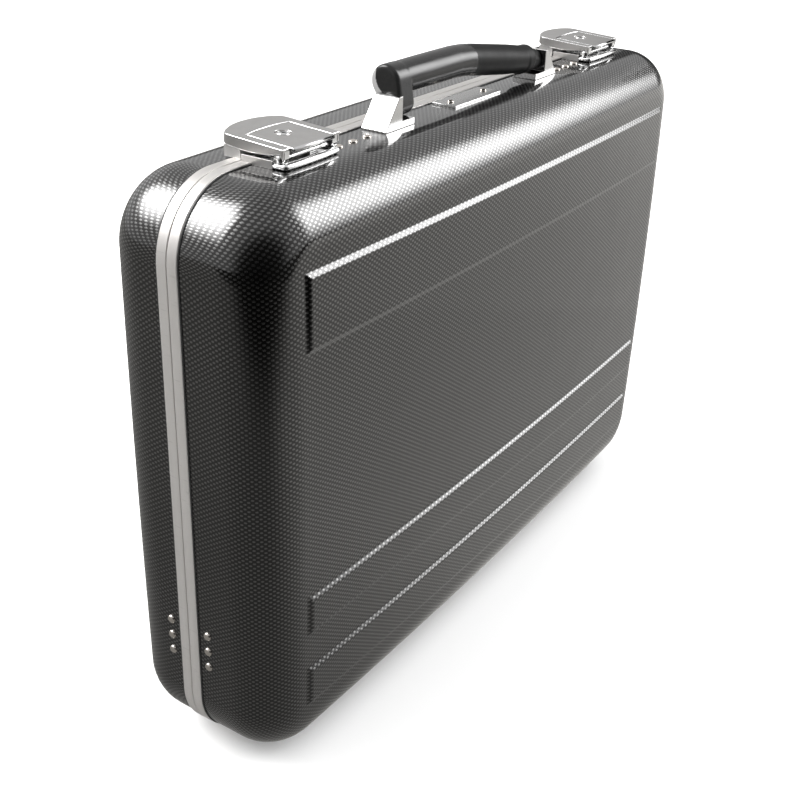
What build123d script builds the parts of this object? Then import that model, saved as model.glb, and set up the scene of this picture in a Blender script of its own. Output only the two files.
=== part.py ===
# An upright hard case for keys: two moulded shells in aluminium frames, hinged along the bottom,
# with a carrying handle, two lever latches and hook boards inside.
# X runs along the case, Y from the deep half to the lid, Z up. Sizes are in millimetres.
# The parts are drawn about the seam plane Y = 0 with the frames' lower edge at Z = 0,
# and moved at the end so that the origin is the centre of the footprint on the floor.

import os
from math import asin, degrees, sqrt

from build123d import *

# Outer form
case_length = 460.0
case_height = 318.6
body_depth = 54.5
lid_depth = 46.5
body_crown = 4.0
lid_crown = 3.0
corner_radius = 38.0
edge_rounding = 28.0
bar_half_length = 200.0
bar_rise = 1.8
bar_heights = [(34.8, 60.8), (82.0, 106.7), (242.4, 282.5)]

# Walls, all measured inwards from the frame's outer face
shell_inset = 0.8
shell_wall = 2.4
seam_gap = 0.4
frame_width = 6.3
frame_strip = 4.6
body_flange_width = 26.0
lid_flange_width = 18.0
trim_width = 0.8
rib_inset = 1.6
rib_wall = 1.2
rib_height = 2.2
rib_clearance = 0.6

# Rivets and screws
rivet_head_radius = 2.4
rivet_head_height = 1.3
rivet_shank_radius = 1.5
rivet_tail_height = 0.7
screw_radius = 1.6
top_rivet_offsets = [104.0, 116.0, 128.0]
top_rivet_depth = 19.5
end_rivet_heights = [61.0, 71.0, 81.0]
end_rivet_depth = 12.5

# Hinges along the bottom
hinge_centres = [-130.0, 130.0]
hinge_length = 60.0
hinge_knuckles = 5
knuckle_radius = 2.5
hinge_drop = 2.6
hinge_pin_radius = 1.3
leaf_width = 17.0
leaf_wall = 1.2
hinge_rivet_offsets = [-22.0, 0.0, 22.0]
running_clearance = 0.05

# Feet
foot_height = 6.0
foot_radius = 8.0
foot_offset = 178.0
foot_depths = {-1: 19.0, 1: 15.5}

# Lid stays, two folding bars at each end
stay_arm = 63.0
stay_width = 8.0
stay_wall = 1.2
stay_inset = 5.4
stay_step = 1.6
stay_stud_radius = 2.0
stay_head_radius = 3.2

# Handle
handle_axis_depth = -15.5
handle_axis_rise = 9.4
handle_pin_radius = 2.5
boss_radius = 6.2
boss_end = 78.1
pin_start = 68.5
pin_length = 16.0
link_margin = 0.3
grip_start = (-70.0, -11.0, 339.3)
grip_middle = (-3.0, -11.8, 339.3)
grip_end = (60.0, -16.6, 330.6)
grip_radii = [8.4, 8.8, 8.9, 8.6, 8.0]
grip_slopes = [(-0.01, 0.0), (-0.01, 0.0), (-0.04, -0.07), (-0.07, -0.13), (-0.07, -0.14)]
grip_link_radius = 8.8
grip_link_left = -63.0
grip_link_right = (56.0, 66.0)
grip_link_rounding = 2.5
bracket_inner = 78.5
bracket_outer = 93.5
bracket_top = 82.0
bracket_rise = 15.5
bracket_near = -24.0
bracket_far = -8.5
bracket_foot_end = 67.0
bracket_foot_rise = 2.8
bracket_screw_offset = 87.0
bracket_screw_depths = [-20.0, -12.5]
bracket_screw_drop = 8.5
backing_plate_ends = (72.0, 133.0)
backing_plate_depths = (-25.5, -7.5)
backing_plate_wall = 1.5

# Name plate
plate_length = 50.0
plate_near = -23.5
plate_far = -8.2
plate_wall = 1.8
plate_rivet_offset = 18.0

# Latches
latch_centres = [-157.0, 157.0]
latch_half_width = 20.7
latch_axis_depth = -22.5
latch_axis_rise = 4.4
latch_tilt = 3.2
cover_top = 5.2
cover_wall = 1.6
cover_near = -2.8
cover_side_end = 31.0
cover_apex = 38.5
skirt_wall = 1.4
skirt_rise = 6.5
base_wall = 1.4
base_half_width = 18.8
base_near = -27.5
base_far = -0.6
side_wall_rise = 6.0
latch_pin_radius = 1.2
ear_radius = 2.4
lever_half_width = 12.3
lever_near = -3.6
lever_wall = 1.2
lever_corner = 21.3
lever_apex = 23.5
lever_slot = 0.9
lever_pin_u = 21.0
lever_pin_w = 3.3
lever_pin_radius = 0.8
lever_barrel_radius = 1.6
lock_u = 14.0
housing_radius = 5.0
plug_radius = 3.0
cam_top = -2.2
cam_wall = 1.1
cam_reach = 11.9
keeper_half_width = 19.5
keeper_near = 1.0
keeper_far = 11.0
keeper_rise = 5.8
base_rivet_offset = 9.5
base_rivet_depth = -11.0
keeper_rivet_offset = 14.5
keeper_rivet_depth = 9.0
latch_tail_radius = 2.2
latch_tail_height = 1.0

# Inside
lining_inset = 11.0
lining_wall = 2.0
lining_rounding = 20.0
body_lining_back = 51.0
lid_lining_back = 43.0
board_half_length = 196.0
board_low = 28.0
board_high = 292.0
board_wall = 1.5
spacer_length = 5.5
spacer_radius = 4.0
rail_heights = [52.0, 107.0, 162.0, 217.0, 272.0]
rail_half_length = 188.0
rail_width = 14.0
hook_pitch = 32.0
hooks_per_rail = 12
hook_radius = 1.1
hook_reach = 8.0
hook_tip = 7.0
tip_radius = 1.3

mid_height = case_height / 2
shell_top = case_height - shell_inset
flange_inset = shell_inset + shell_wall
half_length = case_length / 2
handle_axis_height = case_height + handle_axis_rise
latch_axis_height = case_height + latch_axis_rise
parts = {}


def slab(inset, y_low, y_high):
    """A plate with the case's outline, drawn in by inset, between two depths."""
    plane = Plane(origin=(0, y_high, mid_height), x_dir=(1, 0, 0), z_dir=(0, -1, 0))
    outline = RectangleRounded(case_length - 2 * inset, case_height - 2 * inset, corner_radius - inset)
    return extrude(plane * outline, amount=y_high - y_low)


def ring(outer_inset, inner_inset, y_low, y_high):
    return slab(outer_inset, y_low, y_high) - slab(inner_inset, y_low - 1, y_high + 1)


def block(low, high):
    size = [b - a for a, b in zip(low, high)]
    centre = [(a + b) / 2 for a, b in zip(low, high)]
    return Pos(*centre) * Box(*size)


def rod(start, direction, radius, length):
    """A round bar from a point along an axis."""
    plane = Plane(origin=start, z_dir=direction)
    return extrude(plane * Circle(radius), amount=length)


def crown_radius(crown):
    return (half_length ** 2 + crown ** 2) / (2 * crown)


def crown_ball(depth, crown, extra):
    radius = crown_radius(crown)
    return Pos(0, radius - depth - crown, mid_height) * Sphere(radius + extra)


def half_form(inset, wall, depth, crown):
    """The outside of one half, drawn in by wall, with its face crowned and its edge rounded."""
    start = -frame_width - trim_width
    form = slab(inset + wall, -depth - crown - 5, start) & crown_ball(depth, crown, -wall)
    face = form.faces().sort_by(Axis.Y)[0]
    return fillet(face.edges(), edge_rounding - wall)


def moulded_shell(depth, crown):
    outside = half_form(shell_inset, 0, depth, crown)
    inside = half_form(shell_inset, shell_wall, depth, crown)
    shell = outside - inside
    for low, high in bar_heights:
        bar = block((-bar_half_length, -depth - crown - 5, low), (bar_half_length, -depth + 1.0, high))
        shell += bar & crown_ball(depth, crown, bar_rise)
    return shell


def turned(shape, mirrored):
    return mirror(shape, about=Plane.XZ) if mirrored else shape


def rivet(seat, outward, grip_length, head=rivet_head_radius, shank=rivet_shank_radius):
    """A rivet whose round head sits on seat, with a flat head at the far end of its grip."""
    direction = Vector(*outward)
    dome = rod(seat, outward, head, rivet_head_height)
    rim = dome.faces().sort_by(Axis(seat, outward))[-1].edges()
    dome = fillet(rim, rivet_head_height * 0.7)
    inner = Vector(*seat) - direction * grip_length
    tail = tuple(inner - direction * rivet_tail_height)
    shaft = rod(tail, outward, shank, grip_length + rivet_tail_height)
    return dome + shaft + rod(tail, outward, head * 0.8, rivet_tail_height)


def hole(seat, outward, radius, length):
    start = Vector(*seat) + Vector(*outward) * 3
    inward = tuple(Vector(*outward) * -1)
    return rod(tuple(start), inward, radius, length + 6)


def group(solids):
    return Compound(list(solids))


# Where the rivets of each half go: seat, outward direction and grip length
def side_rivets(side):
    """Rivets at the two ends, which hold the lid stays."""
    found = []
    for end in (-1, 1):
        for height in end_rivet_heights:
            seat = (end * (half_length - shell_inset), side * end_rivet_depth, height)
            found.append((seat, (end, 0, 0), frame_strip - shell_inset))
    return found


def hinge_rivets(side):
    found = []
    for centre in hinge_centres:
        for offset in hinge_rivet_offsets:
            seat = (centre + offset, side * end_rivet_depth, -leaf_wall)
            found.append((seat, (0, 0, -1), frame_strip + leaf_wall))
    return found


top_rivets = []
for end in (-1, 1):
    for offset in top_rivet_offsets:
        top_rivets.append(((end * offset, -top_rivet_depth, shell_top), (0, 0, 1), frame_strip + 0.7))

plate_rivets = []
for end in (-1, 1):
    seat = (end * plate_rivet_offset, (plate_near + plate_far) / 2, shell_top + plate_wall)
    plate_rivets.append((seat, (0, 0, 1), plate_wall + frame_strip - shell_inset))

base_rivets = []
keeper_rivets = []
for centre in latch_centres:
    for offset in (-base_rivet_offset, base_rivet_offset):
        base_rivets.append((centre + offset, base_rivet_depth, case_height + base_wall))
    for offset in (-keeper_rivet_offset, keeper_rivet_offset):
        seat = (centre + offset, keeper_rivet_depth, case_height + keeper_rise)
        keeper_rivets.append(seat)

foot_screws = {}
for side in (-1, 1):
    foot_screws[side] = [(end * foot_offset, side * foot_depths[side], -foot_height) for end in (-1, 1)]


def cut_holes(shape, places):
    for seat, outward, length in places:
        shape -= hole(seat, outward, rivet_shank_radius, length)
    return shape


def cut_upright_holes(shape, points, radius):
    for x, y, z in points:
        shape -= rod((x, y, case_height - 12), (0, 0, 1), radius, 30)
    return shape


def cut_foot_holes(shape, side):
    for x, y, z in foot_screws[side]:
        shape -= rod((x, y, -1), (0, 0, 1), screw_radius, 12)
    return shape


# The two halves: shells, frames and the black trim between them
bracket_screws = []
for end in (-1, 1):
    for depth in bracket_screw_depths:
        bracket_screws.append((end * bracket_screw_offset, depth, case_height - bracket_screw_drop))

body_places = side_rivets(-1) + hinge_rivets(-1) + top_rivets + plate_rivets
lid_places = side_rivets(1) + hinge_rivets(1)

shell = cut_foot_holes(cut_holes(moulded_shell(body_depth, body_crown), body_places), -1)
shell = cut_upright_holes(shell, base_rivets, rivet_shank_radius)
parts["body_shell"] = cut_upright_holes(shell, bracket_screws, screw_radius)

lid = turned(moulded_shell(lid_depth, lid_crown), True)
lid = cut_foot_holes(cut_holes(lid, lid_places), 1)
parts["lid_shell"] = cut_upright_holes(lid, keeper_rivets, rivet_shank_radius)

half_gap = seam_gap / 2
groove_low = rib_inset - rib_clearance
groove_high = rib_inset + rib_wall + rib_clearance
frame = ring(0, frame_strip, -frame_width, -half_gap)
frame += ring(flange_inset, frame_strip, -body_flange_width, -frame_width)
frame -= ring(groove_low, groove_high, -half_gap - rib_height - rib_clearance, 1)
frame = cut_foot_holes(cut_holes(frame, body_places), -1)
frame = cut_upright_holes(frame, base_rivets, rivet_shank_radius)
parts["body_frame"] = cut_upright_holes(frame, bracket_screws, screw_radius)

frame = ring(0, frame_strip, half_gap, frame_width)
frame += ring(flange_inset, frame_strip, frame_width, lid_flange_width)
frame += ring(rib_inset, rib_inset + rib_wall, half_gap - rib_height, half_gap + 0.5)
frame = cut_foot_holes(cut_holes(frame, lid_places), 1)
parts["lid_frame"] = cut_upright_holes(frame, keeper_rivets, rivet_shank_radius)

trim = ring(0.3, flange_inset, -frame_width - trim_width, -frame_width)
parts["body_edge_trim"] = trim
parts["lid_edge_trim"] = turned(trim, True)

# Rivets, one node for the like ones of each half
parts["body_rivets"] = group(rivet(*place) for place in side_rivets(-1) + hinge_rivets(-1) + top_rivets)
parts["lid_rivets"] = group(rivet(*place) for place in side_rivets(1) + hinge_rivets(1))
parts["name_plate_rivets"] = group(rivet(*place, head=1.9) for place in plate_rivets)


# Hinges: five knuckles each, three on the body's leaf and two on the lid's
def hinge_leaf(centre, side):
    knuckle = hinge_length / hinge_knuckles
    own = range(0, hinge_knuckles, 2) if side < 0 else range(1, hinge_knuckles, 2)
    low = centre - hinge_length / 2
    near = sorted((side * (knuckle_radius + 0.8), side * leaf_width))
    leaf = block((low, near[0], -leaf_wall), (low + hinge_length, near[1], 0))
    gap = 0.15
    for index in own:
        start = low + index * knuckle + gap
        barrel = rod((start, 0, -hinge_drop), (1, 0, 0), knuckle_radius, knuckle - 2 * gap)
        tongue = sorted((side * 1.2, side * (knuckle_radius + 1.0)))
        tab = block((start, tongue[0], -leaf_wall - 0.1), (start + knuckle - 2 * gap, tongue[1], -0.1))
        leaf += barrel + tab
    bore = hinge_pin_radius + (running_clearance if side > 0 else 0.0)
    leaf -= rod((low - 1, 0, -hinge_drop), (1, 0, 0), bore, hinge_length + 2)
    return cut_holes(leaf, hinge_rivets(side))


def hinge_pin(centre):
    start = (centre - hinge_length / 2 - 0.4, 0, -hinge_drop)
    return rod(start, (1, 0, 0), hinge_pin_radius, hinge_length + 0.8)


parts["body_hinge_leaves"] = group(hinge_leaf(centre, -1) for centre in hinge_centres)
parts["lid_hinge_leaves"] = group(hinge_leaf(centre, 1) for centre in hinge_centres)
parts["hinge_pins"] = group(hinge_pin(centre) for centre in hinge_centres)


# Feet and the screws that hold them
def foot(x, y):
    plane = Plane(origin=(x, y, -foot_height), z_dir=(0, 0, 1))
    form = loft([plane * Circle(foot_radius - 1.0), plane.offset(foot_height + shell_inset) * Circle(foot_radius)])
    form -= rod((x, y, -foot_height - 1), (0, 0, 1), 3.4, 3.6)
    return form - rod((x, y, -foot_height), (0, 0, 1), screw_radius, foot_height + 2)


def foot_screw(x, y):
    head = rod((x, y, -foot_height + 0.8), (0, 0, 1), 3.0, 1.8)
    return head + rod((x, y, -foot_height + 2.6), (0, 0, 1), screw_radius, foot_height + 3.4)


for name, side in (("body", -1), ("lid", 1)):
    parts[name + "_feet"] = group(foot(x, y) for x, y, z in foot_screws[side])
    parts[name + "_foot_screws"] = group(foot_screw(x, y) for x, y, z in foot_screws[side])


# Handle: brackets, the plates behind them, the grip and its pins
def bracket(end):
    plane = Plane(origin=(0, bracket_far, 0), x_dir=(1, 0, 0), z_dir=(0, -1, 0))
    top = case_height + bracket_rise
    foot_top = case_height + bracket_foot_rise
    points = [
        (end * bracket_outer, shell_top),
        (end * bracket_outer, shell_top + 0.8),
        (end * bracket_top, top),
        (end * bracket_inner, top),
        (end * bracket_inner, foot_top),
        (end * bracket_foot_end, foot_top),
        (end * bracket_foot_end, shell_top),
    ]
    form = extrude(plane * make_face(Polyline(*points, close=True)), amount=bracket_far - bracket_near)
    top_edges = form.faces().filter_by(Axis.Z).sort_by(Axis.Z)[-1].edges().filter_by(Axis.Y)
    form = fillet(top_edges, 1.2)
    start = (end * (bracket_inner - 1), handle_axis_depth, handle_axis_height)
    form -= rod(start, (end, 0, 0), handle_pin_radius + running_clearance, 8)
    for x, y, z in bracket_screws:
        if x * end > 0:
            form -= rod((x, y, shell_top - 1), (0, 0, 1), screw_radius, 6.8)
    return form


def bracket_screw(x, y, z):
    return rod((x, y, z), (0, 0, 1), 3.2, 2.0) + rod((x, y, z + 2.0), (0, 0, 1), screw_radius, 11.5)


def backing_plate(end):
    low, high = sorted(end * place for place in backing_plate_ends)
    top = case_height - frame_strip
    near, far = backing_plate_depths
    plate = block((low, near, top - backing_plate_wall), (high, far, top))
    plate = cut_holes(plate, top_rivets)
    return cut_upright_holes(plate, bracket_screws, screw_radius)


parts["left_handle_bracket"] = bracket(-1)
parts["right_handle_bracket"] = bracket(1)
parts["bracket_backing_plates"] = group([backing_plate(-1), backing_plate(1)])
parts["bracket_screws"] = group(bracket_screw(*place) for place in bracket_screws)


def end_link(x, joint, tube_radius, joint_radius):
    """A flat link round the handle's axis and a joint of the tube, between two places along X."""
    outline = make_hull([
        Pos(handle_axis_depth, handle_axis_height) * Circle(joint_radius).edge(),
        Pos(joint[1], joint[2]) * Circle(tube_radius).edge(),
    ])
    plane = Plane(origin=(x[0], 0, 0), x_dir=(0, 1, 0), z_dir=(1, 0, 0))
    return extrude(plane * outline, amount=x[1] - x[0])


def grip():
    """A bent tube between two links, with a round boss at each end."""
    places = [Vector(*grip_start), Vector(*grip_middle), Vector(*grip_end)]
    places.insert(1, (places[0] + places[1]) / 2)
    places.insert(3, (places[2] + places[3]) / 2)
    rings = [
        Plane(origin=place, z_dir=(1, slope[0], slope[1])) * Circle(radius)
        for place, slope, radius in zip(places, grip_slopes, grip_radii)
    ]
    form = loft(rings)
    left = end_link((-boss_end, grip_link_left), grip_start, grip_link_radius, boss_radius)
    outer_rim = left.faces().sort_by(Axis.X)[0].edges()
    form += fillet(outer_rim, grip_link_rounding)
    right = end_link(grip_link_right, grip_end, grip_radii[-1] + link_margin, boss_radius + link_margin)
    form += right
    boss_start = (grip_link_right[0] + 2.0, handle_axis_depth, handle_axis_height)
    form += rod(boss_start, (1, 0, 0), boss_radius, boss_end - boss_start[0])
    for end in (-1, 1):
        start = (end * pin_start, handle_axis_depth, handle_axis_height)
        form -= rod(start, (end, 0, 0), handle_pin_radius, pin_length)
    return form


parts["handle_grip"] = grip()
parts["handle_pins"] = group(
    rod((end * pin_start, handle_axis_depth, handle_axis_height), (end, 0, 0), handle_pin_radius, pin_length)
    for end in (-1, 1)
)

# Name plate
plate = block(
    (-plate_length / 2, plate_near, shell_top),
    (plate_length / 2, plate_far, shell_top + plate_wall),
)
plate = chamfer(plate.faces().sort_by(Axis.Z)[-1].edges(), 0.8)
parts["name_plate"] = cut_holes(plate, plate_rivets)


# Latches. u runs from the cover's hinge towards the lid and w up from it, before the cover's tilt.
def latch_plane(centre, w):
    return Plane(origin=(centre, latch_axis_depth, latch_axis_height + w), x_dir=(1, 0, 0), z_dir=(0, 0, 1))


def tilt(shape, centre):
    axis = Axis((centre, latch_axis_depth, latch_axis_height), (1, 0, 0))
    return shape.rotate(axis, latch_tilt)


def arc_plan(half_width, near, side_end, apex):
    """A plan with a straight near edge and an arc across its far end."""
    edges = Polyline((-half_width, side_end), (-half_width, near), (half_width, near), (half_width, side_end))
    arc = ThreePointArc((half_width, side_end), (0, apex), (-half_width, side_end))
    return make_face([*edges.edges(), arc])


def latch_block(centre, x, u, w):
    low = (centre + x[0], latch_axis_depth + u[0], latch_axis_height + w[0])
    high = (centre + x[1], latch_axis_depth + u[1], latch_axis_height + w[1])
    return block(low, high)


def latch_rod(centre, x, u, w, radius):
    start = (centre + x[0], latch_axis_depth + u, latch_axis_height + w)
    return rod(start, (1, 0, 0), radius, x[1] - x[0])


def latch_cover(centre):
    outer = arc_plan(latch_half_width, cover_near, cover_side_end, cover_apex)
    inner = arc_plan(
        latch_half_width - skirt_wall, cover_near - 5, cover_side_end - 0.5, cover_apex - skirt_wall
    )
    window = arc_plan(
        lever_half_width + 0.5, cover_near - 5, lever_corner + lever_slot, lever_apex + lever_slot
    )
    form = extrude(latch_plane(centre, -1) * outer, amount=cover_top + 1)
    rim = form.faces().sort_by(Axis.Z)[-1].edges()
    form = fillet(rim, 0.6)
    form -= extrude(latch_plane(centre, -3) * inner, amount=cover_top - cover_wall + 3)
    form -= extrude(latch_plane(centre, -3) * window, amount=20)
    form = tilt(form, centre)
    level = case_height + skirt_rise
    form -= block((centre - 40, -40, level - 20), (centre + 40, 40, level))
    lugs = []
    for end in (-1, 1):
        x = sorted((end * 13.3, end * 15.8))
        lug = latch_rod(centre, x, 0, 0, ear_radius - 0.1)
        lug += latch_block(centre, x, (-2.3, 2.3), (0, cover_top - 0.8))
        lug += latch_block(centre, sorted((end * 12.9, end * 15.8)), (19.0, 23.0), (1.5, cover_top - 0.8))
        lugs.append(tilt(lug, centre))
    form += lugs
    form -= tilt(latch_rod(centre, (-17, 17), lever_pin_u, lever_pin_w, lever_pin_radius), centre)
    return form - latch_rod(centre, (-17, 17), 0, 0, latch_pin_radius + running_clearance)


def latch_base(centre):
    low = (centre - base_half_width, base_near, case_height)
    high = (centre + base_half_width, base_far, case_height + base_wall)
    form = block(low, high)
    skirt_far = -frame_width - trim_width - 0.2
    form += block((low[0], base_near, shell_top), (high[0], skirt_far, case_height))
    for end in (-1, 1):
        x = sorted((end * 17.4, end * base_half_width))
        wall = block(
            (centre + x[0], latch_axis_depth, case_height),
            (centre + x[1], base_far, case_height + side_wall_rise),
        )
        ear = latch_rod(centre, sorted((end * 16.1, end * base_half_width)), 0, 0, ear_radius)
        ear += latch_block(centre, sorted((end * 16.1, end * base_half_width)), (-2.4, 2.4), (-4.4, 0))
        form += wall + ear
    form -= latch_rod(centre, (-20, 20), 0, 0, latch_pin_radius)
    return cut_upright_holes(form, base_rivets, rivet_shank_radius) - countersinks()


def countersinks():
    return [
        loft([
            Plane(origin=(x, y, z - 1.2), z_dir=(0, 0, 1)) * Circle(rivet_shank_radius),
            Plane(origin=(x, y, z), z_dir=(0, 0, 1)) * Circle(rivet_shank_radius + 1.2),
        ])
        for x, y, z in base_rivets
    ]


def flush_rivet(x, y, z):
    """A rivet with its head level with the latch base."""
    head = loft([
        Plane(origin=(x, y, z - 1.2), z_dir=(0, 0, 1)) * Circle(rivet_shank_radius),
        Plane(origin=(x, y, z), z_dir=(0, 0, 1)) * Circle(rivet_shank_radius + 1.2),
    ])
    low = case_height - frame_strip - latch_tail_height
    shank = rod((x, y, low), (0, 0, 1), rivet_shank_radius, z - 1.2 - low)
    return head + shank + rod((x, y, low), (0, 0, 1), latch_tail_radius, latch_tail_height)


def latch_lever(centre):
    plan = arc_plan(lever_half_width, lever_near, lever_corner, lever_apex)
    form = extrude(latch_plane(centre, cover_top - lever_wall) * plan, amount=lever_wall)
    width = (-lever_half_width, lever_half_width)
    lip = latch_block(centre, width, (lever_near, lever_near + 2.4), (cover_top - 3.0, cover_top))
    lip = fillet(lip.edges().filter_by(Axis.X).sort_by(Axis.Y)[:2], 1.1)
    barrel_width = (1.0 - lever_half_width, lever_half_width - 1.0)
    form = form + lip + latch_rod(centre, barrel_width, lever_pin_u, lever_pin_w, lever_barrel_radius)
    form -= latch_rod(centre, (-20, 20), lever_pin_u, lever_pin_w, lever_pin_radius + running_clearance)
    form -= extrude(latch_plane(centre, -5) * (Pos(0, lock_u) * Circle(housing_radius)), amount=20)
    return tilt(form, centre)


def lock_rod(centre, radius, low, high):
    return extrude(latch_plane(centre, low) * (Pos(0, lock_u) * Circle(radius)), amount=high - low)


def lock_housing(centre):
    form = lock_rod(centre, housing_radius, 2.0, cover_top + 0.5)
    rim = form.faces().sort_by(Axis.Z)[-1].edges()
    form = chamfer(rim, 0.4)
    return tilt(form - lock_rod(centre, plug_radius + running_clearance, 0, 10), centre)


def lock_plug(centre):
    form = lock_rod(centre, plug_radius, cam_top, cover_top + 0.3)
    keyway = latch_block(centre, (-0.6, 0.6), (lock_u - 2.1, lock_u + 2.1), (1.5, 8))
    return tilt(form - keyway, centre)


def lock_cam(centre):
    form = lock_rod(centre, plug_radius + 0.6, cam_top - cam_wall, cam_top)
    tongue = latch_block(
        centre, (-cam_reach, 0), (lock_u - 2.5, lock_u + 2.5), (cam_top - cam_wall, cam_top)
    )
    return tilt(form + tongue, centre)


def latch_spring(centre):
    foot_low = case_height + base_wall
    points = [
        (-20.0, foot_low),
        (-15.0, foot_low),
        (-6.5, foot_low + 5.6),
        (-7.0, foot_low + 6.0),
        (-15.2, foot_low + 0.5),
        (-20.0, foot_low + 0.5),
    ]
    plane = Plane(origin=(centre + 5.8, 0, 0), x_dir=(0, 1, 0), z_dir=(1, 0, 0))
    return extrude(plane * make_face(Polyline(*points, close=True)), amount=6.0)


def keeper(centre):
    low = (centre - keeper_half_width, keeper_near, case_height)
    high = (centre + keeper_half_width, keeper_far, case_height + keeper_rise)
    form = block(low, high)
    form = fillet(form.edges().filter_by(Axis.X).sort_by(Axis.Z)[-2:], 0.8)
    window = block((centre - 9, -1, case_height + 1.8), (centre + 9, 8, case_height + 4.8))
    return cut_upright_holes(form - window, keeper_rivets, rivet_shank_radius)


def keeper_rivet(x, y, z):
    low = case_height - frame_strip - latch_tail_height
    shank = rod((x, y, low), (0, 0, 1), rivet_shank_radius, z - low)
    return shank + rod((x, y, low), (0, 0, 1), latch_tail_radius, latch_tail_height)


for name, centre in zip(("left", "right"), latch_centres):
    parts[name + "_latch_base"] = latch_base(centre)
    parts[name + "_latch_cover"] = latch_cover(centre)
    parts[name + "_latch_lever"] = latch_lever(centre)
    lever_pin = latch_rod(centre, (-15.8, 15.8), lever_pin_u, lever_pin_w, lever_pin_radius)
    parts[name + "_lever_pin"] = tilt(lever_pin, centre)
    parts[name + "_lock_housing"] = lock_housing(centre)
    parts[name + "_lock_plug"] = lock_plug(centre)
    parts[name + "_lock_cam"] = lock_cam(centre)
pin_span = (-base_half_width, base_half_width)
parts["latch_pins"] = group(latch_rod(centre, pin_span, 0, 0, latch_pin_radius) for centre in latch_centres)
parts["latch_springs"] = group(latch_spring(centre) for centre in latch_centres)
parts["latch_keepers"] = group(keeper(centre) for centre in latch_centres)
parts["latch_base_rivets"] = group(flush_rivet(*place) for place in base_rivets)
parts["keeper_rivets"] = group(keeper_rivet(*place) for place in keeper_rivets)

# Lid stays. Each arm is drawn upright from its lower pivot and then leaned over.
pivot_height = end_rivet_heights[1]
knee_height = sqrt(stay_arm ** 2 - end_rivet_depth ** 2)
stay_lean = degrees(asin(end_rivet_depth / stay_arm))


def stay_bar(end, layer, pivot_y, lean, bore_low, bore_high):
    inset = stay_inset + layer * stay_step
    outer = end * (half_length - inset)
    plane = Plane(origin=(outer, pivot_y, pivot_height), x_dir=(0, 1, 0), z_dir=(1, 0, 0))
    outline = Pos(0, stay_arm / 2) * SlotCenterToCenter(stay_arm, stay_width, rotation=90)
    bar = extrude(plane * outline, amount=-end * stay_wall)
    bar -= extrude(plane.offset(5) * Circle(bore_low), amount=-10)
    bar -= extrude(plane.offset(5) * (Pos(0, stay_arm) * Circle(bore_high)), amount=-10)
    return bar.rotate(Axis((outer, pivot_y, pivot_height), (1, 0, 0)), lean)


def stay_stud(end, side, reach):
    start = (end * (half_length - frame_strip - rivet_tail_height), side * end_rivet_depth, pivot_height)
    stud = rod(start, (-end, 0, 0), stay_stud_radius, reach)
    head_start = (start[0] - end * reach, start[1], start[2])
    return stud + rod(head_start, (-end, 0, 0), stay_head_radius, 0.7)


def knee_rivet(end):
    start = (end * (half_length - stay_inset), 0, pivot_height + knee_height)
    reach = stay_step + stay_wall + 0.15
    rivet_body = rod(start, (-end, 0, 0), stay_stud_radius, reach)
    return rivet_body + rod((start[0] - end * reach, 0, start[2]), (-end, 0, 0), stay_head_radius, 0.8)


loose = stay_stud_radius + 0.06
for name, end in (("left", -1), ("right", 1)):
    parts[name + "_lower_stay_bar"] = stay_bar(end, 0, -end_rivet_depth, -stay_lean, loose, stay_stud_radius)
    parts[name + "_upper_stay_bar"] = stay_bar(end, 1, end_rivet_depth, stay_lean, loose, loose)
    parts[name + "_stay_knee_rivet"] = knee_rivet(end)
parts["body_stay_studs"] = group(stay_stud(end, -1, stay_wall + 0.2) for end in (-1, 1))
parts["lid_stay_studs"] = group(stay_stud(end, 1, 0.4) for end in (-1, 1))


# Inside: a lined tray, a board on spacers and hook rails in each half
def lining(back):
    outer = slab(lining_inset, -back, -1.0)
    outer = fillet(outer.faces().sort_by(Axis.Y)[0].edges(), lining_rounding)
    inner = slab(lining_inset + lining_wall, -back + lining_wall, 1.0)
    inner = fillet(inner.faces().sort_by(Axis.Y)[0].edges(), lining_rounding - lining_wall)
    return outer - inner


def board_points():
    points = []
    for x in (-board_half_length + 14, 0, board_half_length - 14):
        for z in (board_low + 8, board_high - 8):
            points.append((x, z))
    return points


def key_board(face):
    board = block((-board_half_length, face - board_wall, board_low), (board_half_length, face, board_high))
    board = fillet(board.edges().filter_by(Axis.Y), 8)
    for x, z in board_points():
        board -= rod((x, face + 1, z), (0, -1, 0), screw_radius, 6)
    return board


def spacers(face):
    solids = []
    for x, z in board_points():
        start = (x, face - board_wall, z)
        tube = rod(start, (0, -1, 0), spacer_radius, spacer_length)
        solids.append(tube - rod(start, (0, -1, 0), screw_radius, spacer_length + 1))
    return solids


def board_screws(face):
    solids = []
    for x, z in board_points():
        head = rod((x, face, z), (0, 1, 0), 3.0, 1.4)
        solids.append(head + rod((x, face, z), (0, -1, 0), screw_radius, board_wall + spacer_length))
    return solids


def hook_rail(face, height, shift):
    rail = block(
        (-rail_half_length, face, height - rail_width / 2),
        (rail_half_length, face + 1.5, height + rail_width / 2),
    )
    first = -(hooks_per_rail - 1) * hook_pitch / 2 + shift
    hooks = []
    for index in range(hooks_per_rail):
        x = first + index * hook_pitch
        hooks.append(rod((x, face + 1.0, height), (0, 1, 0), hook_radius, hook_reach + 0.5))
        low_tip = (x, face + hook_reach + 1.5, height - tip_radius - 0.4)
        hooks.append(rod(low_tip, (0, 0, 1), tip_radius, hook_tip))
    return rail + hooks


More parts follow.
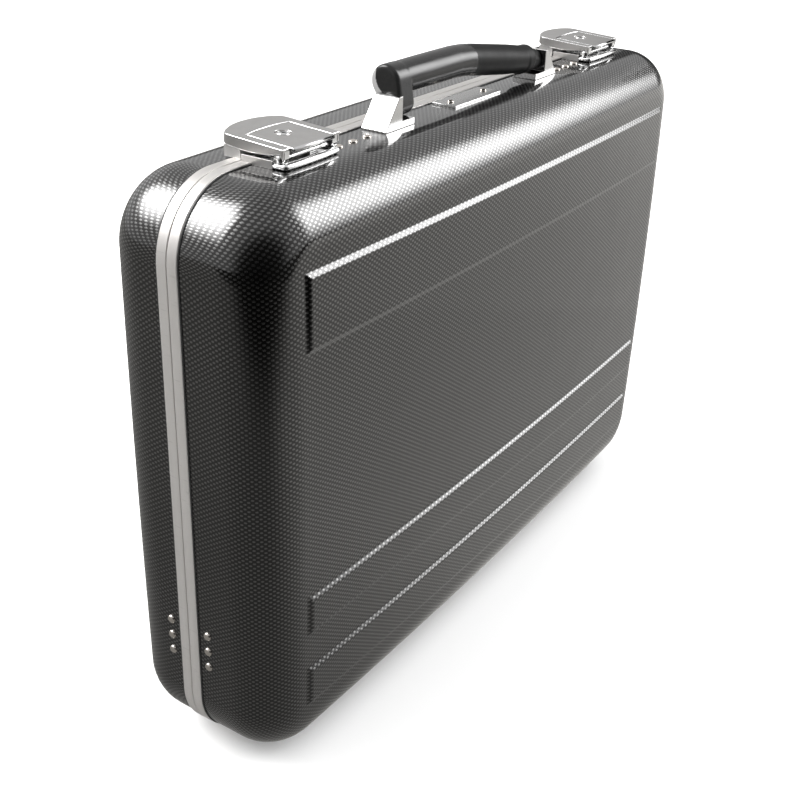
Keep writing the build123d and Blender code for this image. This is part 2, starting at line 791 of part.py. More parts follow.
for name, back, mirrored in (("body", body_lining_back, False), ("lid", lid_lining_back, True)):
    face = -back + lining_wall + spacer_length + board_wall
    parts[name + "_lining"] = turned(lining(back), mirrored)
    parts[name + "_key_board"] = turned(key_board(face), mirrored)
    parts[name + "_board_spacers"] = group(turned(piece, mirrored) for piece in spacers(face))
    parts[name + "_board_screws"] = group(turned(piece, mirrored) for piece in board_screws(face))
    rails = [turned(hook_rail(face, height, 0), mirrored) for height in rail_heights]
    parts[name + "_hook_rails"] = group(rails)

# Move the origin to the middle of the footprint and write the nodes
boxes = [shape.bounding_box() for shape in parts.values()]
near_extent = min(box.min.Y for box in boxes)
far_extent = max(box.max.Y for box in boxes)
shift = Pos(0, -(near_extent + far_extent) / 2, foot_height)
os.makedirs("parts", exist_ok=True)
for name, shape in parts.items():
    export_step(shift * shape, "parts/" + name + ".step")
print(len(parts), "parts, with the seam plane at Y =", round(shift.position.Y, 3))
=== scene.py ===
# Key storage case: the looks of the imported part, in metres and in the CAD's own frame.
import math

import bmesh
import bpy
import numpy as np
from mathutils import Matrix, Vector


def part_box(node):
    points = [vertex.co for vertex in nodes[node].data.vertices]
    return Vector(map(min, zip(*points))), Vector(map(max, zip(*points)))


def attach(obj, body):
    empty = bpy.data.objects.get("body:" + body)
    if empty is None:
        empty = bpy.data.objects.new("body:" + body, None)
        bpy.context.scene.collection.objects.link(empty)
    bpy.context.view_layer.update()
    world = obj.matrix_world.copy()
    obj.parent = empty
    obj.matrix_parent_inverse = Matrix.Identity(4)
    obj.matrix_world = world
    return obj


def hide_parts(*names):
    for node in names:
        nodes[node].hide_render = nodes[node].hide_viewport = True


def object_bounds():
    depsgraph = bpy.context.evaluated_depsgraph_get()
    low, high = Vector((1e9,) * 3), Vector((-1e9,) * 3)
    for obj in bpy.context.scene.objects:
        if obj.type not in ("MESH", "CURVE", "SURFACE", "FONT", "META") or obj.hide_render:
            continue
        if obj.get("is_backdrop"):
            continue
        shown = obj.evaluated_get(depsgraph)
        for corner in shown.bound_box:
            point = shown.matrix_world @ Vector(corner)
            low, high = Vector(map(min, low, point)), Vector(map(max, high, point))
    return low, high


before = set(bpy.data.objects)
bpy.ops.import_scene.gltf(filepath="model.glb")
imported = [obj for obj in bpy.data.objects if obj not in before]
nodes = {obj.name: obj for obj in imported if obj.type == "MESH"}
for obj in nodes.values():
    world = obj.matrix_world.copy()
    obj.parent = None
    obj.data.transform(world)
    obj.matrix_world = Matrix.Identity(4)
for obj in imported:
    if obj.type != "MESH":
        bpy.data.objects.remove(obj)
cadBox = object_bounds()
mm = 0.001

# Everything below is written in millimetres from the seam plane and the frames' lower edge.
case = {"length": 460.0, "height": 318.6, "seamGap": 0.4, "shellInset": 0.8, "cornerRadius": 38.0,
        "frameWidth": 6.3, "trimWidth": 0.8}
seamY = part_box("body_frame")[1].y / mm + case["seamGap"] / 2
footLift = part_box("body_frame")[0].z / mm
top = case["height"]
halfLength = case["length"] / 2
shellTop = top - case["shellInset"]


def toFrame(points):
    return (np.asarray(points, float).reshape(-1, 3) + (0.0, seamY, footLift)) * mm


def makePiece(name, points, faces, faceUvs=None, smooth=True):
    mesh = bpy.data.meshes.new(name)
    mesh.from_pydata([tuple(p) for p in toFrame(points)], [], faces)
    if faceUvs is not None:
        layer = mesh.uv_layers.new(name="UVMap")
        layer.data.foreach_set("uv", np.asarray(faceUvs, float).ravel())
    mesh.polygons.foreach_set("use_smooth", [smooth] * len(mesh.polygons))
    mesh.update()
    piece = bpy.data.objects.new(name, mesh)
    bpy.context.scene.collection.objects.link(piece)
    return piece


def turnOutwards(piece, weld=True):
    mesh = bmesh.new()
    mesh.from_mesh(piece.data)
    if weld:
        bmesh.ops.remove_doubles(mesh, verts=mesh.verts, dist=1e-7)
    bmesh.ops.recalc_face_normals(mesh, faces=mesh.faces)
    mesh.to_mesh(piece.data)
    mesh.free()
    return piece


def applyModifiers(piece):
    graph = bpy.context.evaluated_depsgraph_get()
    mesh = bpy.data.meshes.new_from_object(
        piece.evaluated_get(graph), preserve_all_data_layers=True, depsgraph=graph)
    piece.modifiers.clear()
    piece.data = mesh
    return piece


def combine(piece, tool, operation="DIFFERENCE"):
    change = piece.modifiers.new("combine", "BOOLEAN")
    change.operation = operation
    change.object = tool
    change.solver = "EXACT"
    applyModifiers(piece)
    bpy.data.objects.remove(tool)
    return piece


def bevelEdges(piece, width, segments=3, angle=32.0, edgeSlot=-1):
    change = piece.modifiers.new("edges", "BEVEL")
    change.width = width * mm
    change.segments = segments
    change.limit_method = "ANGLE"
    change.angle_limit = math.radians(angle)
    change.harden_normals = True
    change.material = edgeSlot
    change.miter_outer = "MITER_ARC"
    return applyModifiers(piece)


# One mesh out of several, under the materials of the first
def join(name, pieces):
    mesh = bmesh.new()
    for piece in pieces:
        mesh.from_mesh(piece.data)
    data = pieces[0].data
    mesh.to_mesh(data)
    mesh.free()
    for piece in pieces[1:]:
        bpy.data.objects.remove(piece)
    pieces[0].name = name
    data.name = name
    return pieces[0]


# A flat outline drawn out between two heights; place moves each point into the seam's frame
def prism(name, outline, low, high, place=None):
    count = len(outline)
    points = [(x, y, low) for x, y in outline] + [(x, y, high) for x, y in outline]
    if place:
        points = [place(*point) for point in points]
    faces = [tuple(range(count - 1, -1, -1)), tuple(range(count, 2 * count))]
    faces += [(k, (k + 1) % count, (k + 1) % count + count, k + count) for k in range(count)]
    return turnOutwards(makePiece(name, points, faces, smooth=False))


# A profile of (radius, height) pairs turned round an axis
def lathe(name, profile, place, steps=48):
    points = []
    for radius, height in profile:
        for k in range(steps):
            angle = 2 * math.pi * k / steps
            points.append(place(radius * math.cos(angle), radius * math.sin(angle), height))
    faces = [tuple(range(steps - 1, -1, -1))]
    for row in range(len(profile) - 1):
        for k in range(steps):
            a, b = row * steps + k, row * steps + (k + 1) % steps
            faces.append((a, b, b + steps, a + steps))
    last = (len(profile) - 1) * steps
    faces.append(tuple(range(last, last + steps)))
    return turnOutwards(makePiece(name, points, faces))


def paint(piece, materials, slot=0):
    piece.data.materials.clear()
    for material in materials:
        piece.data.materials.append(material)
    piece.data.polygons.foreach_set("material_index", [slot] * len(piece.data.polygons))
    return piece


def finish(piece, body, replaced, materials):
    for material in materials:
        if material.name not in [m.name for m in piece.data.materials if m]:
            piece.data.materials.append(material)
    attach(piece, body)
    for node in replaced:
        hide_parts(node)
    return piece


# Shader helpers
def addNode(tree, kind, values=None, **settings):
    node = tree.nodes.new(kind)
    for key, value in settings.items():
        setattr(node, key, value)
    for key, value in (values or {}).items():
        if isinstance(value, bpy.types.NodeSocket):
            tree.links.new(value, node.inputs[key])
        else:
            node.inputs[key].default_value = value
    return node


def calc(tree, operation, first, second=None, third=None):
    values = {0: first}
    if second is not None:
        values[1] = second
    if third is not None:
        values[2] = third
    return addNode(tree, "ShaderNodeMath", values, operation=operation).outputs[0]


def ramp(tree, value, low, high, newLow=0.0, newHigh=1.0, smooth=True):
    kind = "SMOOTHSTEP" if smooth else "LINEAR"
    values = {"Value": value, "From Min": low, "From Max": high, "To Min": newLow, "To Max": newHigh}
    return addNode(tree, "ShaderNodeMapRange", values, interpolation_type=kind).outputs["Result"]


def blend(tree, factor, first, second):
    node = addNode(tree, "ShaderNodeMix", data_type="RGBA")
    for place, value in ((0, factor), (6, first), (7, second)):
        if isinstance(value, bpy.types.NodeSocket):
            tree.links.new(value, node.inputs[place])
        else:
            node.inputs[place].default_value = value
    return node.outputs[2]


def grey(value, warmth=0.0):
    return (value * (1 + warmth), value, value * (1 - warmth), 1.0)


def newGroup(name, inputs, outputs):
    tree = bpy.data.node_groups.new(name, "ShaderNodeTree")
    for socket, kind, default in inputs:
        made = tree.interface.new_socket(socket, in_out="INPUT", socket_type=kind)
        if default is not None:
            made.default_value = default
    for socket, kind in outputs:
        tree.interface.new_socket(socket, in_out="OUTPUT", socket_type=kind)
    return tree, tree.nodes.new("NodeGroupInput"), tree.nodes.new("NodeGroupOutput")


def useGroup(tree, group, values):
    node = addNode(tree, "ShaderNodeGroup", node_tree=group)
    for key, value in values.items():
        if isinstance(value, bpy.types.NodeSocket):
            tree.links.new(value, node.inputs[key])
        else:
            node.inputs[key].default_value = value
    return node


def newMaterial(name, **fixed):
    material = bpy.data.materials.new(name)
    material.use_nodes = True
    tree = material.node_tree
    shader = tree.nodes["Principled BSDF"]
    for key, value in fixed.items():
        shader.inputs[key].default_value = value
    return material, tree, shader


def surfaceBump(tree, shader, height, distance, strength=1.0, edges=0.0):
    values = {"Height": height, "Distance": distance * mm, "Strength": strength}
    if edges:
        rounded = addNode(tree, "ShaderNodeBevel", {"Radius": edges * mm}, samples=4)
        values["Normal"] = rounded.outputs[0]
    bump = addNode(tree, "ShaderNodeBump", values)
    tree.links.new(bump.outputs["Normal"], shader.inputs["Normal"])


floatKind, vectorKind = "NodeSocketFloat", "NodeSocketVector"


# Woven dots: pale crossings in a staggered grid, as wide as the cells that the photograph shows
def buildWeaveGroup():
    inputs = [("Place", vectorKind, None), ("Cell width", floatKind, 1.9), ("Cell height", floatKind, 1.3)]
    outputs = [("Dots", floatKind), ("Relief", floatKind), ("Drift", floatKind)]
    tree, entry, leave = newGroup("Woven dots", inputs, outputs)
    place = addNode(tree, "ShaderNodeSeparateXYZ", {0: entry.outputs["Place"]})
    across = calc(tree, "DIVIDE", place.outputs[0], entry.outputs["Cell width"])
    upward = calc(tree, "DIVIDE", place.outputs[1], entry.outputs["Cell height"])
    waveX = calc(tree, "SINE", calc(tree, "MULTIPLY", across, math.pi))
    waveY = calc(tree, "SINE", calc(tree, "MULTIPLY", upward, math.pi))
    product = calc(tree, "MULTIPLY", waveX, waveY)
    tree.links.new(ramp(tree, product, -0.05, 0.7), leave.inputs["Dots"])
    tree.links.new(product, leave.inputs["Relief"])
    slow = addNode(tree, "ShaderNodeTexNoise", {"Vector": entry.outputs["Place"], "Scale": 0.021,
                                                "Detail": 3.0})
    tree.links.new(slow.outputs["Fac"], leave.inputs["Drift"])
    return tree


# Rubbed marks: smudges, fine scratches and dust for hard surfaces
def buildWearGroup():
    inputs = [("Place", vectorKind, None), ("Scale", floatKind, 1.0)]
    outputs = [("Smudge", floatKind), ("Scratch", floatKind), ("Dust", floatKind)]
    tree, entry, leave = newGroup("Rubbed marks", inputs, outputs)
    scaled = addNode(tree, "ShaderNodeVectorMath", {0: entry.outputs["Place"], 3: entry.outputs["Scale"]},
                     operation="SCALE").outputs[0]
    smudge = addNode(tree, "ShaderNodeTexNoise", {"Vector": scaled, "Scale": 45.0, "Detail": 5.0,
                                                  "Distortion": 0.6})
    tree.links.new(ramp(tree, smudge.outputs["Fac"], 0.35, 0.75), leave.inputs["Smudge"])
    stretched = addNode(tree, "ShaderNodeMapping", {"Vector": scaled, "Rotation": (0.3, 0.2, 0.7),
                                                    "Scale": (900.0, 40.0, 300.0)})
    scratch = addNode(tree, "ShaderNodeTexNoise", {"Vector": stretched.outputs[0], "Scale": 1.0,
                                                   "Detail": 2.0})
    tree.links.new(ramp(tree, scratch.outputs["Fac"], 0.62, 0.74), leave.inputs["Scratch"])
    dust = addNode(tree, "ShaderNodeTexNoise", {"Vector": scaled, "Scale": 2400.0, "Detail": 1.0})
    tree.links.new(ramp(tree, dust.outputs["Fac"], 0.72, 0.8), leave.inputs["Dust"])
    return tree


# Brushed grain: fine streaks along one direction of the given place
def buildBrushGroup():
    inputs = [("Place", vectorKind, None), ("Stretch", vectorKind, (0.02, 3.0, 3.0))]
    tree, entry, leave = newGroup("Brushed grain", inputs, [("Grain", floatKind), ("Band", floatKind)])
    places = {0: entry.outputs["Place"], 1: entry.outputs["Stretch"]}
    stretched = addNode(tree, "ShaderNodeVectorMath", places, operation="MULTIPLY").outputs[0]
    fine = addNode(tree, "ShaderNodeTexNoise", {"Vector": stretched, "Scale": 1.0, "Detail": 4.0,
                                                "Roughness": 0.7})
    broad = addNode(tree, "ShaderNodeTexNoise", {"Vector": stretched, "Scale": 0.18, "Detail": 2.0})
    tree.links.new(fine.outputs["Fac"], leave.inputs["Grain"])
    tree.links.new(broad.outputs["Fac"], leave.inputs["Band"])
    return tree


weaveGroup = buildWeaveGroup()
wearGroup = buildWearGroup()
brushGroup = buildBrushGroup()


def objectPlace(tree):
    return addNode(tree, "ShaderNodeTexCoord").outputs["Object"]


# Clear-coated weave: pale crossings ("dot") over near-black valleys ("gap")
shellFinish = {"cellWidth": 1.89, "cellHeight": 1.3, "dot": 0.185, "gap": 0.014, "dotRoughness": 0.3,
               "gapRoughness": 0.42, "relief": 0.05, "drift": 0.15, "dust": 0.35}
clearCoat = {"Metallic": 1.0, "Coat Weight": 1.0, "Coat Roughness": 0.04, "Coat IOR": 1.6}


def buildShellMaterial():
    material, tree, shader = newMaterial("Woven shell", **clearCoat)
    mapped = addNode(tree, "ShaderNodeUVMap", uv_map="UVMap").outputs[0]
    weave = useGroup(tree, weaveGroup, {"Place": mapped, "Cell width": shellFinish["cellWidth"],
                                        "Cell height": shellFinish["cellHeight"]})
    wear = useGroup(tree, wearGroup, {"Place": objectPlace(tree)})
    dot = blend(tree, weave.outputs["Drift"], grey(shellFinish["dot"] * (1 - shellFinish["drift"]), 0.02),
                grey(shellFinish["dot"] * (1 + shellFinish["drift"])))
    colour = blend(tree, weave.outputs["Dots"], grey(shellFinish["gap"], 0.04), dot)
    dusty = calc(tree, "MULTIPLY", wear.outputs["Dust"], 0.25)
    tree.links.new(blend(tree, dusty, colour, grey(shellFinish["dust"])), shader.inputs["Base Color"])
    rough = ramp(tree, weave.outputs["Dots"], 0.0, 1.0, shellFinish["gapRoughness"],
                 shellFinish["dotRoughness"], False)
    rough = calc(tree, "ADD", rough, calc(tree, "MULTIPLY", wear.outputs["Smudge"], 0.04))
    tree.links.new(rough, shader.inputs["Roughness"])
    surfaceBump(tree, shader, weave.outputs["Relief"], shellFinish["relief"], 0.6)
    return material


# Brushed or polished metal: a base grey, how rough, how far the grain varies that, and the grain's depth
def buildMetal(name, colour, roughness, spread, depth, stretch, edges=0.0, warmth=0.0, fromUv=False,
               metallic=1.0):
    material, tree, shader = newMaterial(name, Metallic=metallic)
    place = addNode(tree, "ShaderNodeUVMap", uv_map="UVMap").outputs[0] if fromUv else objectPlace(tree)
    brush = useGroup(tree, brushGroup, {"Place": place, "Stretch": stretch})
    wear = useGroup(tree, wearGroup, {"Place": objectPlace(tree), "Scale": 3.0})
    lighter, darker = grey(min(colour * 1.08, 0.98), warmth), grey(colour * 0.9, warmth)
    tone = blend(tree, brush.outputs["Band"], darker, lighter)
    worn = calc(tree, "MULTIPLY", wear.outputs["Scratch"], 0.25)
    tree.links.new(blend(tree, worn, tone, grey(colour * 0.6, warmth)), shader.inputs["Base Color"])
    rough = ramp(tree, brush.outputs["Grain"], 0.3, 0.7, roughness - spread, roughness + spread, False)
    rough = calc(tree, "ADD", rough, calc(tree, "MULTIPLY", wear.outputs["Smudge"], spread))
    tree.links.new(rough, shader.inputs["Roughness"])
    cut = calc(tree, "MULTIPLY", wear.outputs["Scratch"], 0.6)
    surfaceBump(tree, shader, calc(tree, "SUBTRACT", brush.outputs["Grain"], cut), depth, 0.5, edges)
    return material


# Moulded plastic or rubber with a fine grain, specks of dust and rubbed, glossier patches
def buildPlastic(name, colour, roughness, grain, depth, edges=0.0, ior=1.5):
    material, tree, shader = newMaterial(name, Metallic=0.0, IOR=ior)
    place = objectPlace(tree)
    wear = useGroup(tree, wearGroup, {"Place": place, "Scale": 2.0})
    cells = addNode(tree, "ShaderNodeTexVoronoi", {"Vector": place, "Scale": grain})
    soft = addNode(tree, "ShaderNodeTexNoise", {"Vector": place, "Scale": grain * 0.7, "Detail": 3.0})
    height = calc(tree, "MULTIPLY", cells.outputs["Distance"], soft.outputs["Fac"])
    base = blend(tree, soft.outputs["Fac"], grey(colour * 0.8), grey(colour * 1.25))
    dusty = blend(tree, calc(tree, "MULTIPLY", wear.outputs["Dust"], 0.3), base, grey(0.3))
    tree.links.new(dusty, shader.inputs["Base Color"])
    rough = ramp(tree, wear.outputs["Smudge"], 0.0, 1.0, roughness - 0.04, roughness + 0.06, False)
    tree.links.new(rough, shader.inputs["Roughness"])
    surfaceBump(tree, shader, height, depth, 0.6, edges)
    return material


flock = {"Metallic": 0.0, "Roughness": 0.95, "Sheen Weight": 0.8, "Sheen Roughness": 0.35,
         "Sheen Tint": (0.7, 0.7, 0.75, 1.0)}


def buildVelvet(name, colour):
    material, tree, shader = newMaterial(name, **flock)
    place = objectPlace(tree)
    pile = addNode(tree, "ShaderNodeTexNoise", {"Vector": place, "Scale": 1800.0, "Detail": 2.0})
    stroke = addNode(tree, "ShaderNodeTexNoise", {"Vector": place, "Scale": 22.0, "Detail": 4.0,
                                                  "Distortion": 1.2})
    tone = calc(tree, "MULTIPLY", ramp(tree, pile.outputs["Fac"], 0.3, 0.7, 0.6, 1.2),
                ramp(tree, stroke.outputs["Fac"], 0.35, 0.65, 0.75, 1.25))
    dark = [c * 0.4 for c in colour]
    base = blend(tree, calc(tree, "MULTIPLY", tone, 0.6), (*dark, 1.0), (*colour, 1.0))
    tree.links.new(base, shader.inputs["Base Color"])
    surfaceBump(tree, shader, pile.outputs["Fac"], 0.25, 0.7)
    return material


# How a metal's grain is stretched: long along x, even, or along the swept frame's own length
alongX, even, alongFrame = (60.0, 900.0, 900.0), (900.0, 900.0, 900.0), (0.015, 2.2, 1.0)
shellMaterial = buildShellMaterial()
frameMaterial = buildMetal("Satin frame", colour=0.64, roughness=0.38, spread=0.05, depth=0.004,
                           stretch=alongFrame, warmth=0.03, fromUv=True, metallic=0.82)
satinMaterial = buildMetal("Satin nickel", colour=0.46, roughness=0.32, spread=0.03, depth=0.003,
                           stretch=even, warmth=0.02, metallic=0.9)
polishedMaterial = buildMetal("Polished edges", colour=0.88, roughness=0.10, spread=0.02, depth=0.002,
                              stretch=alongX)
chromeMaterial = buildMetal("Polished chrome", colour=0.62, roughness=0.12, spread=0.02, depth=0.002,
                            stretch=(60.0, 700.0, 700.0), warmth=0.005)
rivetMaterial = buildMetal("Nickel rivets", colour=0.72, roughness=0.2, spread=0.04, depth=0.002,
                           stretch=(700.0, 700.0, 700.0), warmth=0.07)
plateMaterial = buildMetal("Brushed plate", colour=0.58, roughness=0.26, spread=0.05, depth=0.004,
                           stretch=(25.0, 2600.0, 2600.0), warmth=0.01)
steelMaterial = buildMetal("Plated steel", colour=0.58, roughness=0.26, spread=0.05, depth=0.003,
                           stretch=alongX, edges=0.25)
springMaterial = buildMetal("Spring steel", colour=0.42, roughness=0.3, spread=0.05, depth=0.003,
                            stretch=(900.0, 60.0, 900.0), edges=0.1)
keeperMaterial = buildMetal("Keeper nickel", colour=0.72, roughness=0.34, spread=0.04, depth=0.002,
                            stretch=alongX, edges=0.3, warmth=0.02, metallic=0.85)
sealMaterial = buildPlastic("Black seal", colour=0.012, roughness=0.45, grain=900.0, depth=0.02)
gripMaterial = buildPlastic("Satin grip", colour=0.012, roughness=0.16, grain=1500.0, depth=0.006, ior=1.42)
# A duller, less reflective copy of the grip's finish for the tube's right half: painted shade that takes that
# half's highlight away
gripShadedHalfMaterial = buildPlastic("Grip shaded half", colour=0.010, roughness=0.38, grain=1500.0, depth=0.006,
                                 ior=1.2)
gripEndMaterial = buildPlastic("Grip end", colour=0.30, roughness=0.4, grain=1500.0, depth=0.012)
footMaterial = buildPlastic("Foot rubber", colour=0.014, roughness=0.6, grain=1100.0, depth=0.05, edges=0.5)
boardMaterial = buildPlastic("Coated board", colour=0.32, roughness=0.42, grain=1300.0, depth=0.02, edges=0.3)
spacerMaterial = buildPlastic("Spacer nylon", colour=0.05, roughness=0.5, grain=900.0, depth=0.02, edges=0.3)
liningMaterial = buildVelvet("Flocked lining", (0.035, 0.037, 0.045))
print("materials ready")


# Shells: how finely each stretch is divided, and the sizes of the roundings and the raised bars
shellSteps = {"corner": 20, "fillet": 14, "wall": 3, "cell": 4.0, "slope": 6}
shellSizes = {"slope": 3.0, "barRise": 1.8, "barHalf": 200.0, "rounding": 28.0, "wall": 2.4}
# Each shell's depth at the crown's foot and the crown's rise
shellDepths = {"bodyShell": (54.5, 4.0), "lidShell": (46.5, 3.0)}
# The bars' lower and upper edges
bars = [(34.8, 60.8), (82.0, 106.7), (242.4, 282.5)]


# Grid lines along one direction, dense over the corners and the bars' slopes and even between them
def gridLines(half, corner, edges):
    inner = half - corner
    steps = shellSteps["corner"]
    ends = []
    for k in range(steps + 1):
        ends.append(inner + corner * math.sin(math.radians(45.0) * k / steps) * math.sqrt(2))
    marks = set()
    for edge, inward in edges:
        for k in range(-2, 9):
            value = edge + inward * k * shellSizes["slope"] / shellSteps["slope"]
            if abs(value) < inner - 0.2:
                marks.add(round(value, 4))
    count = int(2 * inner / shellSteps["cell"])
    for k in range(1, count):
        value = -inner + 2 * inner * k / count
        if all(abs(value - mark) > shellSteps["cell"] * 0.3 for mark in marks):
            marks.add(round(value, 4))
    return sorted([-v for v in ends] + sorted(marks) + ends)


def squareToRound(value, other, corner):
    return value * math.sqrt(1 - other * other / 2) * corner


def barHeight(x, z):
    best = 0.0
    for low, high in bars:
        reach = min(shellSizes["barHalf"] - abs(x), z - low, high - z) / shellSizes["slope"]
        best = max(best, min(1.0, max(0.0, reach)))
    softened = best * best * (3 - 2 * best)
    return shellSizes["barRise"] * (softened + best) / 2


# A crowned face on a square-to-round grid, then the big rounding and the wall down to the frame
def buildShell(name, side):
    depth, crown = shellDepths[name]
    inset = case["shellInset"]
    rounding = shellSizes["rounding"]
    halfX = halfLength - inset - rounding
    halfZ = top / 2 - inset - rounding
    corner = case["cornerRadius"] - inset - rounding
    radius = (halfLength ** 2 + crown ** 2) / (2 * crown)
    middle = top / 2
    linesX = gridLines(halfX, corner, [])
    barEdges = [(low - middle, 1) for low, high in bars] + [(high - middle, -1) for low, high in bars]
    linesZ = gridLines(halfZ, corner, barEdges)

    def crownAt(x, z):
        return depth + crown - (radius - math.sqrt(radius * radius - x * x - z * z))

    points, uvs = [], []
    for z in linesZ:
        for x in linesX:
            cornerX = (abs(x) - (halfX - corner)) / corner
            cornerZ = (abs(z) - (halfZ - corner)) / corner
            px, pz = x, z
            if cornerX > 0 and cornerZ > 0:
                px = math.copysign(halfX - corner + squareToRound(cornerX, cornerZ, corner), x)
                pz = math.copysign(halfZ - corner + squareToRound(cornerZ, cornerX, corner), z)
            out = crownAt(px, pz) + barHeight(px, pz + middle)
            points.append((px, -out, pz + middle))
            uvs.append((px, pz))
    wide, tall = len(linesX), len(linesZ)
    faces = [(r * wide + c, r * wide + c + 1, (r + 1) * wide + c + 1, (r + 1) * wide + c)
             for r in range(tall - 1) for c in range(wide - 1)]
    rim = list(range(wide)) + [r * wide + wide - 1 for r in range(1, tall)]
    rim += [(tall - 1) * wide + c for c in range(wide - 2, -1, -1)]
    rim += [r * wide for r in range(tall - 2, 0, -1)]
    start = case["frameWidth"] + case["trimWidth"]
    rimData = []
    for index in rim:
        x, y, z = points[index]
        z -= middle
        nx = max(0.0, abs(x) - (halfX - corner)) * (1 if x > 0 else -1)
        nz = max(0.0, abs(z) - (halfZ - corner)) * (1 if z > 0 else -1)
        length = math.hypot(nx, nz)
        rimData.append((x, z, nx / length, nz / length, crownAt(x, z)))
    previous = rim
    for step in range(1, shellSteps["fillet"] + shellSteps["wall"] + 1):
        current = []
        for x, z, nx, nz, face in rimData:
            if step <= shellSteps["fillet"]:
                angle = math.pi / 2 * step / shellSteps["fillet"]
                reach = rounding * math.sin(angle)
                out = face - rounding * (1 - math.cos(angle))
                travel = rounding * angle
            else:
                share = (step - shellSteps["fillet"]) / shellSteps["wall"]
                reach = rounding
                out = (face - rounding) * (1 - share) + start * share
                travel = rounding * math.pi / 2 + (face - rounding - start) * share
            diagonal = (2 * nx * nz) ** 2  # 0 on the sides, 1 in the middle of a corner
            spread = travel - diagonal * 0.42 * max(0.0, travel - reach * 0.9)
            current.append(len(points))
            points.append((x + nx * reach, -out, z + nz * reach + middle))
            uvs.append((x + nx * spread, z + nz * spread))
        count = len(rim)
        for k in range(count):
            n = (k + 1) % count
            faces.append((previous[k], current[k], current[n], previous[n]))
        previous = current
    points = np.array(points)
    if side > 0:
        points[:, 1] *= -1
        faces = [tuple(reversed(face)) for face in faces]
    faceUvs = [uvs[index] for face in faces for index in face]
    piece = makePiece(name, points, faces, faceUvs)
    middleFace = piece.data.polygons[len(piece.data.polygons) // 3]
    if middleFace.normal.y * side < 0:
        piece.data.flip_normals()
    change = piece.modifiers.new("wall", "SOLIDIFY")
    change.thickness = shellSizes["wall"] * mm
    change.offset = -1.0
    change.use_even_offset = False
    applyModifiers(piece)
    piece.data.set_sharp_from_angle(angle=math.radians(50.0))
    return piece


for name, side, body, node in (("bodyShell", -1, "case_body", "body_shell"),
                               ("lidShell", 1, "lid", "lid_shell")):
    shell = finish(buildShell(name, side), body, [node], [shellMaterial])
    print(name, "ready:", len(shell.data.polygons), "faces")


# Frames and seals: a profile of (inset, depth) pairs swept round the case's outline
def sweepOutline(name, profile, side, cornerSteps=20):
    stations = []
    for quarter, (signX, signZ) in enumerate(((1, 1), (-1, 1), (-1, -1), (1, -1))):
        for k in range(cornerSteps + 1):
            angle = math.pi / 2 * (quarter + k / cornerSteps)
            stations.append((signX, signZ, math.cos(angle), math.sin(angle)))
    rows, travel, total = [], [], 0.0
    radius = case["cornerRadius"]
    previous = None
    for signX, signZ, nx, nz in stations:
        cx = signX * (halfLength - radius)
        cz = signZ * (top / 2 - radius) + top / 2
        outer = (cx + nx * radius, cz + nz * radius)
        if previous:
            total += math.dist(outer, previous)
        previous = outer
        travel.append(total)
        rows.append([(cx + nx * (radius - inset), side * depth, cz + nz * (radius - inset))
                     for inset, depth in profile])
    total += math.dist(previous, (halfLength, top - radius))
    points = [point for row in rows for point in row]
    around, count = len(rows), len(profile)
    lengths = [0.0]
    for k in range(count):
        lengths.append(lengths[-1] + math.dist(profile[k], profile[(k + 1) % count]))
    faces, faceUvs = [], []
    for row in range(around):
        after = (row + 1) % around
        u0, u1 = travel[row], travel[after] if after else total
        for k in range(count):
            n = (k + 1) % count
            faces.append((row * count + k, row * count + n, after * count + n, after * count + k))
            faceUvs += [(u0, lengths[k]), (u0, lengths[k + 1]), (u1, lengths[k + 1]), (u1, lengths[k])]
    piece = turnOutwards(makePiece(name, points, faces, faceUvs), weld=False)
    piece.data.polygons.foreach_set("use_smooth", [True] * len(piece.data.polygons))
    piece.data.set_sharp_from_angle(angle=math.radians(38.0))
    return piece


# A profile through (inset, depth, radius) corners, each rounded by its own radius
def roundedProfile(corners, steps=4):
    profile = []
    count = len(corners)
    for k, (x, y, radius) in enumerate(corners):
        if not radius:
            profile.append((x, y))
            continue
        before = Vector(corners[k - 1][:2]) - Vector((x, y))
        after = Vector(corners[(k + 1) % count][:2]) - Vector((x, y))
        start = Vector((x, y)) + before.normalized() * radius
        end = Vector((x, y)) + after.normalized() * radius
        corner = Vector((x, y))
        for j in range(steps + 1):
            t = j / steps
            point = start * (1 - t) ** 2 + corner * (2 * t * (1 - t)) + end * t * t
            profile.append((point.x, point.y))
    return profile


gap = case["seamGap"] / 2
bodyProfile = roundedProfile([
    (0.0, 6.3, 0.7), (0.0, gap, 0.4), (1.0, gap, 0.1), (1.0, 3.0, 0), (3.4, 3.0, 0), (3.4, gap, 0.1),
    (4.6, gap, 0.25), (4.6, 26.0, 0.3), (3.2, 26.0, 0.3), (3.2, 6.3, 0)])
lidProfile = roundedProfile([
    (0.0, 6.3, 0.7), (0.0, gap, 0.4), (1.6, gap, 0), (1.6, -2.0, 0.3), (2.8, -2.0, 0.3), (2.8, gap, 0),
    (4.6, gap, 0.25), (4.6, 18.0, 0.3), (3.2, 18.0, 0.3), (3.2, 6.3, 0)])
trimProfile = roundedProfile([(0.3, 6.3, 0), (3.2, 6.3, 0), (3.2, 7.1, 0), (0.3, 7.1, 0.3)])
finish(sweepOutline("bodyFrame", bodyProfile, -1), "case_body", ["body_frame"], [frameMaterial])
finish(sweepOutline("lidFrame", lidProfile, 1), "lid", ["lid_frame"], [frameMaterial])
finish(sweepOutline("bodySeal", trimProfile, -1), "case_body", ["body_edge_trim"], [sealMaterial])
finish(sweepOutline("lidSeal", trimProfile, 1), "lid", ["lid_edge_trim"], [sealMaterial])
print("frames ready")

# Rivets: one tree places a domed head, a shank and a tail on every point
rivet = {"headRadius": 2.4, "headHeight": 1.3, "shankRadius": 1.5, "tailRadius": 1.92, "tailHeight": 0.7,
         "plateHead": 1.9}
